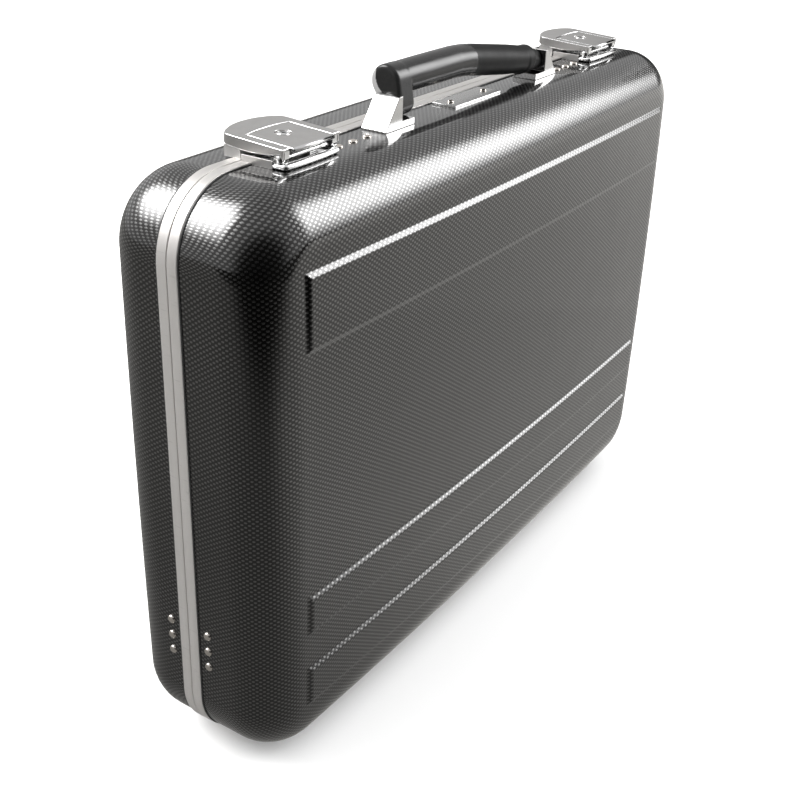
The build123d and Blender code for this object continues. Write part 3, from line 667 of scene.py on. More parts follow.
# Rows of three that hold the hinges below, the edges and the bracket plates above
rivetRows = {"edgeHeights": (61.0, 71.0, 81.0), "fromSeam": 12.5, "hinges": (-130.0, 130.0),
             "hingeSteps": (-22.0, 0.0, 22.0), "hingeDepth": -1.2, "topPlaces": (104.0, 116.0, 128.0),
             "topFromSeam": -19.5, "edgeGrip": 3.8, "hingeGrip": 5.8, "topGrip": 5.3, "plateGrip": 5.6}


def geometryTree(name, inputs):
    tree = bpy.data.node_groups.new(name, "GeometryNodeTree")
    tree.interface.new_socket("Geometry", in_out="INPUT", socket_type="NodeSocketGeometry")
    for socket, kind, default in inputs:
        made = tree.interface.new_socket(socket, in_out="INPUT", socket_type=kind)
        if default is not None:
            made.default_value = default
    tree.interface.new_socket("Geometry", in_out="OUTPUT", socket_type="NodeSocketGeometry")
    return tree, tree.nodes.new("NodeGroupInput"), tree.nodes.new("NodeGroupOutput")


def closeTree(tree, entry, leave, geometry):
    real = addNode(tree, "GeometryNodeRealizeInstances", {"Geometry": geometry})
    painted = addNode(tree, "GeometryNodeSetMaterial", {"Geometry": real.outputs[0],
                                                        "Material": entry.outputs["Finish"]})
    tree.links.new(painted.outputs[0], leave.inputs[0])


# Runs a tree over loose points and keeps the result as one plain mesh
def runTree(name, points, tree, values, attributes):
    mesh = bpy.data.meshes.new(name)
    mesh.from_pydata([tuple(p) for p in toFrame(points)], [], [])
    for key, (kind, data) in attributes.items():
        layer = mesh.attributes.new(key, kind, "POINT")
        field = "vector" if kind == "FLOAT_VECTOR" else "value"
        layer.data.foreach_set(field, np.asarray(data, float).ravel())
    piece = bpy.data.objects.new(name, mesh)
    bpy.context.scene.collection.objects.link(piece)
    change = piece.modifiers.new("repeat", "NODES")
    change.node_group = tree
    for item in tree.interface.items_tree:
        if item.in_out == "INPUT" and item.name in values:
            change[item.identifier] = values[item.name]
    applyModifiers(piece)
    piece.data.set_sharp_from_angle(angle=math.radians(50.0))
    return piece


def buildRivetTree():
    inputs = [("Finish", "NodeSocketMaterial", None), ("Head radius", floatKind, 0.0024),
              ("Head height", floatKind, 0.0013), ("Shank radius", floatKind, 0.0015),
              ("Tail radius", floatKind, 0.0019), ("Tail height", floatKind, 0.0007)]
    tree, entry, leave = geometryTree("Domed rivets", inputs)
    ball = addNode(tree, "GeometryNodeMeshUVSphere", {"Segments": 28, "Rings": 16,
                                                      "Radius": entry.outputs["Head radius"]})
    spot = addNode(tree, "GeometryNodeInputPosition").outputs[0]
    place = addNode(tree, "ShaderNodeSeparateXYZ", {0: spot})
    share = calc(tree, "DIVIDE", place.outputs[2], entry.outputs["Head radius"])
    lifted = calc(tree, "POWER", calc(tree, "MAXIMUM", share, 0.0), 0.75)
    height = calc(tree, "MULTIPLY", lifted, entry.outputs["Head height"])
    flat = addNode(tree, "ShaderNodeCombineXYZ", {0: place.outputs[0], 1: place.outputs[1], 2: height})
    dome = addNode(tree, "GeometryNodeSetPosition", {"Geometry": ball.outputs["Mesh"],
                                                     "Position": flat.outputs[0]})
    grip = addNode(tree, "GeometryNodeInputNamedAttribute", {"Name": "grip"}, data_type="FLOAT")
    heads = addNode(tree, "GeometryNodeInputNamedAttribute", {"Name": "outward"}, data_type="FLOAT_VECTOR")
    turn = addNode(tree, "FunctionNodeAlignRotationToVector", {"Vector": heads.outputs[0]}, axis="Z")
    unit = addNode(tree, "GeometryNodeMeshCylinder", {"Vertices": 20, "Radius": 1.0, "Depth": 1.0})
    lowered = addNode(tree, "GeometryNodeTransform", {"Geometry": unit.outputs["Mesh"],
                                                      "Translation": (0.0, 0.0, -0.5)})
    shank, tail = entry.outputs["Shank radius"], entry.outputs["Tail radius"]
    shankScale = addNode(tree, "ShaderNodeCombineXYZ", {0: shank, 1: shank, 2: grip.outputs[0]})
    tailScale = addNode(tree, "ShaderNodeCombineXYZ", {0: tail, 1: tail, 2: entry.outputs["Tail height"]})
    inward = calc(tree, "MULTIPLY", grip.outputs[0], -1.0)
    down = addNode(tree, "ShaderNodeVectorMath", {0: heads.outputs[0], 3: inward}, operation="SCALE")
    seats = entry.outputs["Geometry"]
    ends = addNode(tree, "GeometryNodeSetPosition", {"Geometry": seats, "Offset": down.outputs[0]})
    parts = []
    for points, form, scale in ((seats, dome.outputs[0], None), (seats, lowered.outputs[0], shankScale),
                                (ends.outputs[0], lowered.outputs[0], tailScale)):
        values = {"Points": points, "Instance": form, "Rotation": turn.outputs[0]}
        if scale:
            values["Scale"] = scale.outputs[0]
        parts.append(addNode(tree, "GeometryNodeInstanceOnPoints", values).outputs[0])
    joined = addNode(tree, "GeometryNodeJoinGeometry")
    for part in parts:
        tree.links.new(part, joined.inputs[0])
    closeTree(tree, entry, leave, joined.outputs[0])
    return tree


rivetTree = buildRivetTree()


def placeRivets(name, places, body, node, headRadius=rivet["headRadius"]):
    sizes = {"Head radius": headRadius, "Head height": rivet["headHeight"],
             "Shank radius": rivet["shankRadius"], "Tail radius": rivet["tailRadius"],
             "Tail height": rivet["tailHeight"]}
    values = {"Finish": rivetMaterial, **{key: size * mm for key, size in sizes.items()}}
    attributes = {"outward": ("FLOAT_VECTOR", [place[1] for place in places]),
                  "grip": ("FLOAT", [place[2] * mm for place in places])}
    piece = runTree(name, [place[0] for place in places], rivetTree, values, attributes)
    return finish(piece, body, [node], [rivetMaterial])


# Each rivet: the middle of its seat, the way its head faces and how much it holds
def edgeRivets(side):
    r = rivetRows
    places = [((end * (halfLength - case["shellInset"]), side * r["fromSeam"], z), (end, 0, 0), r["edgeGrip"])
              for end in (-1, 1) for z in r["edgeHeights"]]
    places += [((centre + step, side * r["fromSeam"], r["hingeDepth"]), (0, 0, -1), r["hingeGrip"])
               for centre in r["hinges"] for step in r["hingeSteps"]]
    return places


topRivets = [((end * x, rivetRows["topFromSeam"], shellTop), (0, 0, 1), rivetRows["topGrip"])
             for end in (-1, 1) for x in rivetRows["topPlaces"]]
placeRivets("bodyRivets", edgeRivets(-1) + topRivets, "case_body", "body_rivets")
placeRivets("lidRivets", edgeRivets(1), "lid", "lid_rivets")
plate = {"length": 50.0, "near": -23.5, "far": -8.2, "wall": 1.2, "rivetX": 18.0, "edge": 0.2}
plateMiddle = (plate["near"] + plate["far"]) / 2
plateTop = shellTop + plate["wall"]
plateRivets = [((end * plate["rivetX"], plateMiddle, plateTop), (0, 0, 1), rivetRows["plateGrip"])
               for end in (-1, 1)]
placeRivets("nameplateRivets", plateRivets, "case_body", "name_plate_rivets", rivet["plateHead"])
print("rivets ready")


# Name plate: bare, with bevelled edges
def boxOutline(x, y):
    return [(x[0], y[0]), (x[1], y[0]), (x[1], y[1]), (x[0], y[1])]


def buildNamePlate():
    half = plate["length"] / 2
    outline = boxOutline((-half, half), (plate["near"], plate["far"]))
    piece = prism("namePlate", outline, shellTop, shellTop + plate["wall"])
    paint(piece, [plateMaterial, polishedMaterial])
    return bevelEdges(piece, plate["edge"], 2, edgeSlot=1)


finish(buildNamePlate(), "case_body", ["name_plate"], [plateMaterial, polishedMaterial])


# Handle brackets: polished wedges with a thin foot
bracket = {"inner": 78.5, "outer": 93.5, "top": 82.0, "rise": 15.5, "near": -24.0, "far": -8.5,
           "footEnd": 67.0, "footRise": 2.8, "toe": 0.8, "brow": 2.0, "edge": 0.35}


# The rounded stretch that replaces a corner between its two neighbours
def arcCorner(corner, before, after, radius, steps=5):
    corner, before, after = Vector(corner), Vector(before), Vector(after)
    start = corner + (before - corner).normalized() * radius
    end = corner + (after - corner).normalized() * radius
    return [tuple(start * (1 - t) ** 2 + corner * (2 * t * (1 - t)) + end * t * t)
            for t in (k / steps for k in range(steps + 1))]


def buildBracket(name, end):
    b = bracket
    high = top + b["rise"]
    outline = [(b["outer"], shellTop), (b["outer"], shellTop + b["toe"])]
    outline += arcCorner((b["top"], high), (b["outer"], shellTop), (b["inner"], high), b["brow"])
    outline += [(b["inner"], high), (b["inner"], top + b["footRise"]), (b["footEnd"], top + b["footRise"]),
                (b["footEnd"], shellTop)]
    outline = [(end * x, z) for x, z in outline]
    piece = prism(name, outline, b["near"], b["far"], lambda x, z, y: (x, y, z))
    paint(piece, [chromeMaterial, satinMaterial])
    return bevelEdges(piece, b["edge"], 3, 40.0, 1)


for name, end in (("left", -1), ("right", 1)):
    finish(buildBracket(name + "Bracket", end), "case_body", [name + "_handle_bracket"],
           [chromeMaterial, satinMaterial])
print("plate and brackets ready")

# Handle grip: a bent tube between two end links, blended into one skin
gripPlaces = [(-74.5, -11.0, 339.3), (-52.0, -11.2, 339.3), (-28.0, -11.5, 339.3), (-12.0, -11.7, 339.3),
              (-3.0, -11.9, 338.8), (6.0, -12.5, 337.9), (22.0, -13.7, 335.7), (42.0, -15.2, 333.0),
              (62.0, -16.7, 330.4)]
gripRadii = [8.5, 8.8, 8.9, 8.9, 8.95, 8.9, 8.8, 8.6, 7.8]
grip = {"axisY": -15.5, "axisZ": top + 9.4, "axisRadius": 6.4, "bossRadius": 6.2, "bossEnd": 78.1,
        "voxel": 0.5, "soften": 14, "endX": -75.6, "endCircle": (-17.5, 343.0, 12.0), "shadedHalfFrom": 1.5}
# The links from the tube's ends down to the axis: their stretch in x, upper end and radius, and rounded edge
gripLinks = {"leftLink": ((-77.4, -63.5), (-11.0, 339.3, 8.8), 2.2, 5),
             "rightLink": ((57.0, 66.0), (-16.6, 330.6, 8.2), 1.6, 4)}
gripBosses = {"leftBoss": (-grip["bossEnd"], -66.0), "rightBoss": (60.0, grip["bossEnd"])}


# A round tube through places with a radius at each
def tube(name, places, radii, steps=40):
    points = []
    for k, place in enumerate(places):
        before, after = Vector(places[max(k - 1, 0)]), Vector(places[min(k + 1, len(places) - 1)])
        along = (after - before).normalized()
        side = along.cross(Vector((0, 0, 1))).normalized()
        up = side.cross(along)
        for j in range(steps):
            angle = 2 * math.pi * j / steps
            points.append(Vector(place) + (side * math.cos(angle) + up * math.sin(angle)) * radii[k])
    faces = [tuple(range(steps)), tuple(range((len(places) - 1) * steps, len(places) * steps))]
    for k in range(len(places) - 1):
        for j in range(steps):
            a, b = k * steps + j, k * steps + (j + 1) % steps
            faces.append((a, b, b + steps, a + steps))
    return turnOutwards(makePiece(name, [tuple(p) for p in points], faces))


# The outline round two circles, each given as (y, z, radius)
def hullOutline(first, second, steps=30):
    (ya, za, ra), (yb, zb, rb) = first, second
    lean = math.atan2(zb - za, yb - ya)
    open_ = math.acos((ra - rb) / math.hypot(yb - ya, zb - za))
    outline = []
    for k in range(steps + 1):
        angle = lean + open_ + (2 * math.pi - 2 * open_) * k / steps
        outline.append((ya + ra * math.cos(angle), za + ra * math.sin(angle)))
    for k in range(steps + 1):
        angle = lean - open_ + 2 * open_ * k / steps
        outline.append((yb + rb * math.cos(angle), zb + rb * math.sin(angle)))
    return outline


def link(name, x, first, second):
    return prism(name, hullOutline(first, second), x[0], x[1], lambda y, z, along: (along, y, z))


def buildGrip():
    axis = (grip["axisY"], grip["axisZ"])
    pieces = [tube("tube", gripPlaces, gripRadii)]
    for (name, (x, upper, edge, segments)), (boss, ends) in zip(gripLinks.items(), gripBosses.items()):
        pieces.append(bevelEdges(link(name, x, (*axis, grip["axisRadius"]), upper), edge, segments, 50.0))
        pieces.append(tube(boss, [(end, *axis) for end in ends], [grip["bossRadius"]] * 2))
    piece = join("handleGrip", pieces)
    change = piece.modifiers.new("skin", "REMESH")
    change.mode = "VOXEL"
    change.voxel_size = grip["voxel"] * mm
    change.use_smooth_shade = True
    change = piece.modifiers.new("soften", "SMOOTH")
    change.factor = 0.5
    change.iterations = grip["soften"]
    applyModifiers(piece)
    piece.data.polygons.foreach_set("use_smooth", [True] * len(piece.data.polygons))
    paint(piece, [gripMaterial, gripEndMaterial, gripShadedHalfMaterial])
    # The pale end is a crescent: what a shifted circle leaves of the end face
    y, z, radius = grip["endCircle"]
    cut = Vector(toFrame([(0.0, y, z)])[0])
    for polygon in piece.data.polygons:
        onEnd = polygon.center.x < grip["endX"] * mm and polygon.normal.x < -0.5
        if onEnd and (polygon.center - cut).yz.length > radius * mm:
            polygon.material_index = 1
        # The tube's right half takes the duller copy of the finish: painted shade
        elif polygon.center.x > grip["shadedHalfFrom"] * mm:
            polygon.material_index = 2
    return piece


handleGrip = buildGrip()
finish(handleGrip, "handle", ["handle_grip"],
       [gripMaterial, gripEndMaterial, gripShadedHalfMaterial])
print("grip ready:", len(handleGrip.data.polygons), "faces")

# Most latch pieces are satin with polished edges
satinPolished = [satinMaterial, polishedMaterial]
# Latches, in u towards the lid and w upwards from each cover's hinge
latch = {"centres": (-157.0, 157.0), "axisY": -22.5, "axisZ": top + 4.4, "tilt": 3.2, "halfWidth": 21.6,
         "coverTop": 5.2, "near": -2.8, "sideEnd": 32.2, "apex": 39.4, "wall": 1.6, "skirt": 1.4,
         "cornerRound": 3.2, "coverEdge": 0.32, "slot": 0.5, "through": 60.0}
lever = {"half": 15.5, "near": -5.0, "corner": 23.0, "apex": 24.3, "lip": 1.05, "wall": 1.3, "edge": 0.25,
         "hingeU": 21.0, "hingeW": 3.2, "hingeRadius": 1.4}
lock = {"u": 14.0, "radius": 4.3, "bore": 2.95, "plug": 2.9, "hole": 0.95, "slotHalf": 0.35, "slotReach": 1.8}
# The cover's lower edge seen from the side: place towards the lid and depth below its top
skirtEdge = [(-30.0, 5.0), (-2.9, 5.0), (-1.0, 2.6), (2.0, 3.5), (7.0, 4.5), (13.0, 5.2), (20.0, 5.5),
             (28.0, 5.2), (34.0, 4.6), (60.0, 4.4)]
# The lugs at the cover's hinge, seen from the side, and the stretches in x of both pairs of lugs
lugOutline = [(-2.8, 0.3), (-2.8, 4.6), (2.6, 4.6), (2.6, -0.6), (1.4, -2.0), (-0.6, -2.2), (-2.0, -1.2)]
lugs = {"outer": 20.1, "clear": 0.1, "edge": 0.35, "innerX": (16.1, 18.6), "innerU": (19.0, 23.0),
        "innerW": (1.5, 4.2), "innerEdge": 0.4}


# A plan with a straight near side and an arc on the lid's side, its corners rounded on request
def arcPlan(halfWidth, near, sideEnd, apex, rounding=0.0, steps=28):
    rise = apex - sideEnd
    radius = (halfWidth ** 2 + rise ** 2) / (2 * rise)
    reach = math.asin(halfWidth / radius)
    arc = []
    for k in range(steps + 1):
        angle = reach - 2 * reach * k / steps
        arc.append((radius * math.sin(angle), apex - radius + radius * math.cos(angle)))
    if rounding:
        inner = [point for point in arc if abs(point[0]) < halfWidth - rounding]
        right = arcCorner(arc[0], (halfWidth, near), inner[0], rounding)
        arc = right[:-1] + inner + [(-x, u) for x, u in reversed(right[:-1])]
    return [(-halfWidth, near), (halfWidth, near)] + arc


# Turns a latch's own (x, u, w) into the seam's frame
def latchPlace(centre, tilted=True):
    lean = math.radians(latch["tilt"]) if tilted else 0.0

    def place(x, u, w):
        y = u * math.cos(lean) - w * math.sin(lean)
        z = u * math.sin(lean) + w * math.cos(lean)
        return (centre + x, latch["axisY"] + y, latch["axisZ"] + z)
    return place


def latchBlock(centre, x, u, w):
    return prism("block", boxOutline(x, u), w[0], w[1], latchPlace(centre))


def latchBar(centre, x, u, w, radius, tilted=True, steps=24):
    place = latchPlace(centre, tilted)
    return lathe("bar", [(radius, x[0]), (radius, x[1])], lambda a, b, c: place(c, u + a, w + b), steps)


def lockRod(name, centre, profile, steps):
    place = latchPlace(centre)
    return lathe(name, profile, lambda a, b, w: place(a, lock["u"] + b, w), steps)


def buildCover(name, centre):
    place = latchPlace(centre)
    c = latch
    across, low = c["through"], -5.0
    plan = arcPlan(c["halfWidth"], c["near"], c["sideEnd"], c["apex"], c["cornerRound"])
    cover = prism(name, plan, -3.0, c["coverTop"], place)
    inner = arcPlan(c["halfWidth"] - c["skirt"], c["near"] - 5, c["sideEnd"] - 0.5,
                    c["apex"] - c["skirt"], 2.0)
    combine(cover, prism("inner", inner, low, c["coverTop"] - c["wall"], place))
    window = arcPlan(lever["half"] + c["slot"], c["near"] - 5, lever["corner"] + c["slot"],
                     lever["apex"] + c["slot"] + 0.2)
    combine(cover, prism("window", window, low, 17.0, place))
    below = [(u, c["coverTop"] - depth) for u, depth in skirtEdge] + [(60.0, -40.0), (-30.0, -40.0)]
    combine(cover, prism("below", below, -across, across, lambda u, w, x: place(x, u, w)))
    paint(cover, satinPolished)
    bevelEdges(cover, c["coverEdge"], 3, 40.0, 1)
    pieces = [cover]
    for end in (-1, 1):
        x = sorted((end * (lever["half"] + c["slot"] + lugs["clear"]), end * lugs["outer"]))
        lug = prism("lug", lugOutline, x[0], x[1], lambda u, w, across: place(across, u, w))
        pieces.append(bevelEdges(lug, lugs["edge"], 2))
        x = sorted(end * value for value in lugs["innerX"])
        lug = latchBlock(centre, x, lugs["innerU"], lugs["innerW"])
        pieces.append(bevelEdges(lug, lugs["innerEdge"], 2))
    for lug in pieces[1:]:
        paint(lug, satinPolished, 1)
    return join(name, pieces)


def buildLever(name, centre):
    place = latchPlace(centre)
    half, roll, high = lever["half"], lever["lip"], latch["coverTop"]
    plan = arcPlan(half, lever["near"] + roll, lever["corner"], lever["apex"])
    flap = prism(name, plan, high - lever["wall"], high, place)
    combine(flap, lockRod("bore", centre, [(lock["radius"], 0.0), (lock["radius"], 10.0)], 48))
    bevelEdges(paint(flap, satinPolished), lever["edge"], 3, 40.0, 1)
    lip = lathe("lip", [(roll - 0.5, -half), (roll, 0.5 - half), (roll, half - 0.5), (roll - 0.5, half)],
                lambda a, b, x: place(x, lever["near"] + roll + a, high - roll + b), 32)
    reach = half - 2.0
    barrel = latchBar(centre, (-reach, reach), lever["hingeU"], lever["hingeW"], lever["hingeRadius"])
    for piece in (lip, barrel):
        paint(piece, satinPolished, 1)
    return join(name, [flap, lip, barrel])


# The lock's ring: a dished profile of (radius, height) pairs, closed on itself
def buildHousing(name, centre):
    place = latchPlace(centre)
    rim, bore = lock["radius"], lock["bore"]
    profile = [(bore, 2.0), (rim - 0.15, 2.0), (rim - 0.15, 4.4), (rim - 0.5, 4.2), (rim - 0.9, 4.5),
               (bore + 0.15, 5.0), (bore, 4.8)]
    points, steps = [], 56
    for radius, height in profile:
        for k in range(steps):
            angle = 2 * math.pi * k / steps
            points.append(place(radius * math.cos(angle), lock["u"] + radius * math.sin(angle), height))
    count = len(profile)
    faces = []
    for row in range(count):
        after = (row + 1) % count
        for k in range(steps):
            n = (k + 1) % steps
            faces.append((row * steps + k, row * steps + n, after * steps + n, after * steps + k))
    piece = turnOutwards(makePiece(name, points, faces))
    piece.data.set_sharp_from_angle(angle=math.radians(45.0))
    return piece


def buildPlug(name, centre):
    radius, middle, reach = lock["plug"], lock["u"], lock["slotReach"]
    profile = [(radius, -2.2), (radius, 4.7), (radius - 0.3, 5.05), (1.6, 5.2), (0.4, 5.25)]
    piece = lockRod(name, centre, profile, 40)
    across = (-lock["slotHalf"], lock["slotHalf"])
    combine(piece, latchBlock(centre, across, (middle - reach, middle + reach), (1.5, 9.0)))
    combine(piece, lockRod("hole", centre, [(lock["hole"], 1.5), (lock["hole"], 9.0)], 24))
    piece.data.polygons.foreach_set("use_smooth", [True] * len(piece.data.polygons))
    piece.data.set_sharp_from_angle(angle=math.radians(35.0))
    return piece


base = {"halfWidth": 21.2, "near": -28.2, "far": -0.6, "sideEnd": -6.2, "cornerRound": 2.5, "bow": 0.9,
        "floorLow": 0.05, "floorTop": 1.2, "flankX": (20.3, 21.2), "flankNear": -19.4, "flankTop": 3.3,
        "earX": (20.3, 21.1), "earRadius": 2.4, "pinHalf": 20.2, "pinRadius": 1.0, "rimEnd": 0.2}
# The base's rolled rim from its foot up: how far it stands inside the near edge, and its height
rimProfile = [(1.9, -0.8), (0.9, -0.3), (0.2, 0.4), (0.0, 1.1), (0.3, 1.8), (1.1, 2.5), (2.0, 2.8),
              (2.7, 2.6), (2.9, 1.4), (2.9, -0.8)]


# The rim's way round the near side: back along one flank, round two corners and along the bowed front
def rimPath():
    half, near, side, bow = base["halfWidth"], base["near"], base["sideEnd"], base["bow"]
    path = [(-half, side), (-half, near + 14), (-half, near + 7)]
    path += arcCorner((-half, near + bow), (-half, side), (0.0, near + 0.2), base["cornerRound"], 6)
    path += [(x, near + bow * (x / half) ** 2) for x in (-14.0, -9.0, -4.5, 0.0, 4.5, 9.0, 14.0)]
    path += arcCorner((half, near + bow), (0.0, near + 0.2), (half, side), base["cornerRound"], 6)
    return path + [(half, near + 7), (half, near + 14), (half, side)]


def buildRim(centre):
    near, side, foot = base["near"], base["sideEnd"], rimProfile[0][1]
    path, points = rimPath(), []
    for k, (x, y) in enumerate(path):
        before, after = Vector(path[max(k - 1, 0)]), Vector(path[min(k + 1, len(path) - 1)])
        along = (after - before).normalized()
        inward = Vector((-along.y, along.x))
        back = max(0.0, (y - near - 4.0) / (side - near - 4.0))
        size = 1.0 - (1.0 - base["rimEnd"]) * back * back * (3 - 2 * back)
        for inset, height in rimProfile:
            rise = shellTop + (height - foot) * size
            points.append((centre + x + inward.x * inset, y + inward.y * inset, rise))
    count, rows = len(rimProfile), len(path)
    faces = []
    for row in range(rows - 1):
        for k in range(count):
            n = (k + 1) % count
            faces.append((row * count + k, row * count + n, (row + 1) * count + n, (row + 1) * count + k))
    faces += [tuple(range(count)), tuple(range((rows - 1) * count, rows * count))]
    rim = turnOutwards(makePiece("rim", points, faces))
    rim.data.set_sharp_from_angle(angle=math.radians(50.0))
    return paint(rim, [polishedMaterial])


def buildBase(name, centre):
    b = base
    inside = b["halfWidth"] - 1.5
    plan = boxOutline((centre - inside, centre + inside), (b["near"] + 2.0, b["far"]))
    floor = prism(name, plan, top + b["floorLow"], top + b["floorTop"])
    bevelEdges(paint(floor, [polishedMaterial, satinMaterial]), 0.3, 2, 38.0)
    pieces = [floor, buildRim(centre)]
    for end in (-1, 1):
        plan = boxOutline(sorted(centre + end * x for x in b["flankX"]), (b["flankNear"], b["far"]))
        flank = prism("flank", plan, shellTop, top + b["flankTop"])
        pieces.append(bevelEdges(paint(flank, [polishedMaterial, satinMaterial], 1), 0.25, 2, 38.0))
        ear = latchBar(centre, sorted(end * x for x in b["earX"]), 0.0, 0.0, b["earRadius"], False)
        pieces.append(paint(ear, [polishedMaterial]))
    pin = latchBar(centre, (-b["pinHalf"], b["pinHalf"]), 0.0, 0.0, b["pinRadius"], False)
    return join(name, pieces + [paint(pin, [polishedMaterial])])


for side, centre in zip(("left", "right"), latch["centres"]):
    finish(buildBase(side + "LatchBase", centre), "case_body", [side + "_latch_base"], satinPolished)
    finish(buildCover(side + "LatchCover", centre), side + "_cover", [side + "_latch_cover"],
           satinPolished)
    finish(buildLever(side + "LatchLever", centre), side + "_lever", [side + "_latch_lever"],
           satinPolished)
    finish(buildHousing(side + "LockHousing", centre), side + "_lever", [side + "_lock_housing"],
           [satinMaterial])
    finish(buildPlug(side + "LockPlug", centre), side + "_lock", [side + "_lock_plug"],
           [polishedMaterial])
print("latches ready")

# CAD nodes that stay take their materials
kept = {}
for names, material in (
        ("hinge_pins body_hinge_leaves lid_hinge_leaves body_stay_studs lid_stay_studs bracket_screws "
         "bracket_backing_plates body_foot_screws lid_foot_screws body_board_screws lid_board_screws "
         "handle_pins left_lower_stay_bar right_lower_stay_bar left_upper_stay_bar right_upper_stay_bar "
         "left_stay_knee_rivet right_stay_knee_rivet left_lever_pin right_lever_pin latch_pins "
         "left_lock_cam right_lock_cam", steelMaterial),
        ("latch_keepers latch_base_rivets keeper_rivets", keeperMaterial),
        ("latch_springs", springMaterial),
        ("body_feet lid_feet", footMaterial),
        ("body_key_board lid_key_board", boardMaterial),
        ("body_board_spacers lid_board_spacers", spacerMaterial),
        ("body_hook_rails lid_hook_rails", steelMaterial),
        ("body_lining lid_lining", liningMaterial)):
    for name in names.split():
        kept[name] = material
for name, material in kept.items():
    data = nodes[name].data
    if data.materials:
        for k in range(len(data.materials)):
            data.materials[k] = material
    else:
        data.materials.append(material)
print("kept nodes painted:", len(kept))

# Camera at the photograph's place
camera = {"place": (-585.344, -354.629, 475.763), "azimuth": 56.957, "elevation": 27.325, "roll": 1.928,
          "focal": 1184.99, "frame": 790.0}
azimuth, elevation, roll = (math.radians(camera[key]) for key in ("azimuth", "elevation", "roll"))
forward = Vector((math.sin(azimuth) * math.cos(elevation), math.cos(azimuth) * math.cos(elevation),
                  -math.sin(elevation)))
right = forward.cross(Vector((0, 0, 1))).normalized()
upward = right.cross(forward)
cameraRight = right * math.cos(roll) + upward * math.sin(roll)
cameraUp = upward * math.cos(roll) - right * math.sin(roll)
cameraData = bpy.data.cameras.new("camera")
cameraData.sensor_width = 36.0
cameraData.lens = camera["focal"] * 36.0 / camera["frame"]
cameraData.clip_start = 0.01
cameraObject = bpy.data.objects.new("camera", cameraData)
bpy.context.scene.collection.objects.link(cameraObject)
turn = Matrix((cameraRight, cameraUp, -forward)).transposed().to_4x4()
place = Vector([float(v) for v in toFrame([camera["place"]])[0]])
cameraObject.matrix_world = Matrix.Translation(place) @ turn
bpy.context.scene.camera = cameraObject


# Studio: pale floor, soft boxes and a bright room with a dark side behind the camera
def addSoftBox(name, place, size, colour=(1.0, 1.0, 1.0)):
    data = bpy.data.lights.new(name, "AREA")
    data.shape = "RECTANGLE"
    data.size, data.size_y = size
    data.energy = studio["areaPower"]
    data.color = colour
    light = bpy.data.objects.new(name, data)
    light.location = place
    light.rotation_euler = (Vector(studio["aim"]) - Vector(place)).to_track_quat("-Z", "Y").to_euler()
    light.visible_camera = False
    light.visible_glossy = False
    bpy.context.scene.collection.objects.link(light)


studio = {"floorTone": 0.93, "floorMirror": 0.54, "farMirror": 0.58, "darkMirror": 0.02, "room": 0.62,
          "diffuse": 1.12, "areaPower": 20.0, "aim": (0.0, 0.0, 0.2)}
# Level directions that the room's and the floor's tones follow
towards = {"camera": (-0.62, -0.78, 0.0), "right": (0.84, -0.54, 0.0), "ahead": (0.86, 0.50, 0.0)}
# How the floor's painted reflection tone steps along them, darker towards the camera and with painted shade
# near the case: start and end in metres, and the factor at each
floorSteps = [("camera", 0.47, 0.80, 1.0, 0.04), ("right", -0.20, 0.12, 0.45, 1.0),
              ("right", -0.62, -0.34, 1.22, 1.0)]
# Soft boxes in the sky and a black card: compass bearing, height, half width, half height and the
# widths of the soft edges at the sides and above, all in degrees, and the radiance
softBoxes = {"right": (124.0, 24.0, 3.5, 4.0, 18.5, 24.0, 8.4),
             "back": (-26.0, 43.0, 9.0, 4.0, 26.0, 22.0, 14.0),
             "black card": (88.0, 9.0, 16.0, 7.0, 7.0, 6.0, -1.6)}


def along(tree, place, direction):
    values = {0: place, 1: towards[direction]}
    return addNode(tree, "ShaderNodeVectorMath", values, operation="DOT_PRODUCT").outputs["Value"]


def buildSoftBoxGroup():
    inputs = [("Direction", vectorKind, None), ("Bearing", floatKind, 0.0), ("Height", floatKind, 0.0),
              ("Half width", floatKind, 0.3), ("Half height", floatKind, 0.2), ("Side edge", floatKind, 0.2),
              ("Top edge", floatKind, 0.2)]
    tree, entry, leave = newGroup("Soft box", inputs, [("Light", floatKind)])
    ray = addNode(tree, "ShaderNodeSeparateXYZ", {0: entry.outputs["Direction"]})
    bearing = calc(tree, "ARCTAN2", ray.outputs[0], ray.outputs[1])
    height = calc(tree, "ARCSINE", ray.outputs[2])
    light = None
    for value, centre, half, edge in ((bearing, "Bearing", "Half width", "Side edge"),
                                      (height, "Height", "Half height", "Top edge")):
        away = calc(tree, "ABSOLUTE", calc(tree, "SUBTRACT", value, entry.outputs[centre]))
        past = calc(tree, "DIVIDE", calc(tree, "SUBTRACT", away, entry.outputs[half]), entry.outputs[edge])
        part = ramp(tree, past, 0.0, 1.0, 1.0, 0.0)
        light = calc(tree, "MULTIPLY", light, part) if light else part
    tree.links.new(light, leave.inputs["Light"])
    return tree


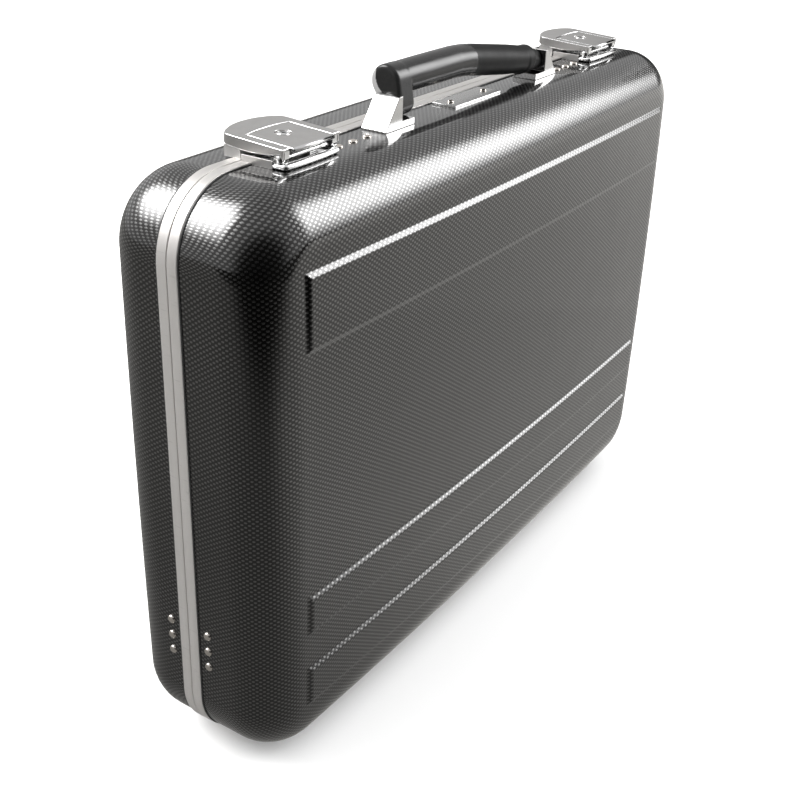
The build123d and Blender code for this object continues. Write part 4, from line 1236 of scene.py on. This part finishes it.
def buildFloor():
    bpy.ops.mesh.primitive_plane_add(size=14.0, location=(0, 0, 0))
    floor = bpy.context.object
    floor.name = "floor"
    material = bpy.data.materials.new("Pale floor")
    material.use_nodes = True
    tree = material.node_tree
    shader = tree.nodes["Principled BSDF"]
    shader.inputs["Base Color"].default_value = grey(studio["floorTone"])
    shader.inputs["Roughness"].default_value = 0.9
    shader.inputs["Specular IOR Level"].default_value = 0.2
    output = tree.nodes["Material Output"]
    spot = addNode(tree, "ShaderNodeNewGeometry").outputs["Position"]
    toRight = along(tree, spot, "right")
    light = ramp(tree, toRight, 0.50, 0.54, studio["floorMirror"], studio["farMirror"])
    light = calc(tree, "ADD", light, ramp(tree, toRight, 0.6, 2.2, 0.0, 0.4))
    for direction, *step in floorSteps:
        light = calc(tree, "MULTIPLY", light, ramp(tree, along(tree, spot, direction), *step))
    # Reflections see the floor glow with this painted reflection tone instead of being lit: darker towards
    # the camera and painted shade near the case
    paintedReflection = addNode(tree, "ShaderNodeEmission", {"Strength": light, "Color": (1.0, 0.985, 0.95, 1.0)})
    path = addNode(tree, "ShaderNodeLightPath")
    mixed = addNode(tree, "ShaderNodeMixShader", {0: path.outputs["Is Glossy Ray"], 1: shader.outputs[0],
                                                  2: paintedReflection.outputs[0]})
    tree.links.new(mixed.outputs[0], output.inputs["Surface"])
    floor.data.materials.append(material)
    floor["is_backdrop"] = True


def buildRoom():
    world = bpy.data.worlds.new("Room")
    bpy.context.scene.world = world
    world.use_nodes = True
    tree = world.node_tree
    background = tree.nodes["Background"]
    direction = addNode(tree, "ShaderNodeTexCoord").outputs["Generated"]
    away = along(tree, direction, "camera")
    tone = ramp(tree, away, 0.45, 0.85, studio["room"], studio["darkMirror"])
    # The horizon beyond the case is dark
    ahead = along(tree, direction, "ahead")
    rise = addNode(tree, "ShaderNodeSeparateXYZ", {0: direction}).outputs[2]
    low = calc(tree, "MULTIPLY", ramp(tree, ahead, 0.80, 0.95), ramp(tree, rise, 0.02, 0.17, 0.97, 0.0))
    tone = calc(tree, "MULTIPLY", tone, calc(tree, "SUBTRACT", 1.0, low))
    group = buildSoftBoxGroup()
    for bearing, height, halfWidth, halfHeight, sideEdge, topEdge, radiance in softBoxes.values():
        angles = {"Bearing": bearing, "Height": height, "Half width": halfWidth, "Half height": halfHeight,
                  "Side edge": sideEdge, "Top edge": topEdge}
        box = useGroup(tree, group, {key: math.radians(value) for key, value in angles.items()})
        tree.links.new(direction, box.inputs["Direction"])
        tone = calc(tree, "MULTIPLY_ADD", box.outputs["Light"], radiance, tone)
    tone = calc(tree, "MAXIMUM", tone, studio["darkMirror"])
    path = addNode(tree, "ShaderNodeLightPath")
    toned = addNode(tree, "ShaderNodeCombineColor", {0: tone, 1: tone, 2: tone})
    seen = blend(tree, path.outputs["Is Camera Ray"], toned.outputs[0], grey(1.0))
    seen = blend(tree, path.outputs["Is Diffuse Ray"], seen, grey(studio["diffuse"]))
    tree.links.new(seen, background.inputs["Color"])
    background.inputs["Strength"].default_value = 1.0


buildFloor()
buildRoom()
addSoftBox("frontRightBox", (1.35, -0.75, 1.25), (1.5, 1.0))
addSoftBox("backLeftBox", (-0.35, 1.3, 1.35), (1.8, 0.9), (1.0, 0.97, 0.95))
bpy.context.scene.view_settings.view_transform = "Standard"
print("studio ready")

boxes = {"cad": cadBox, "visual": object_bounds()}
{key: [[float(v) for v in corner] for corner in box] for key, box in boxes.items()}
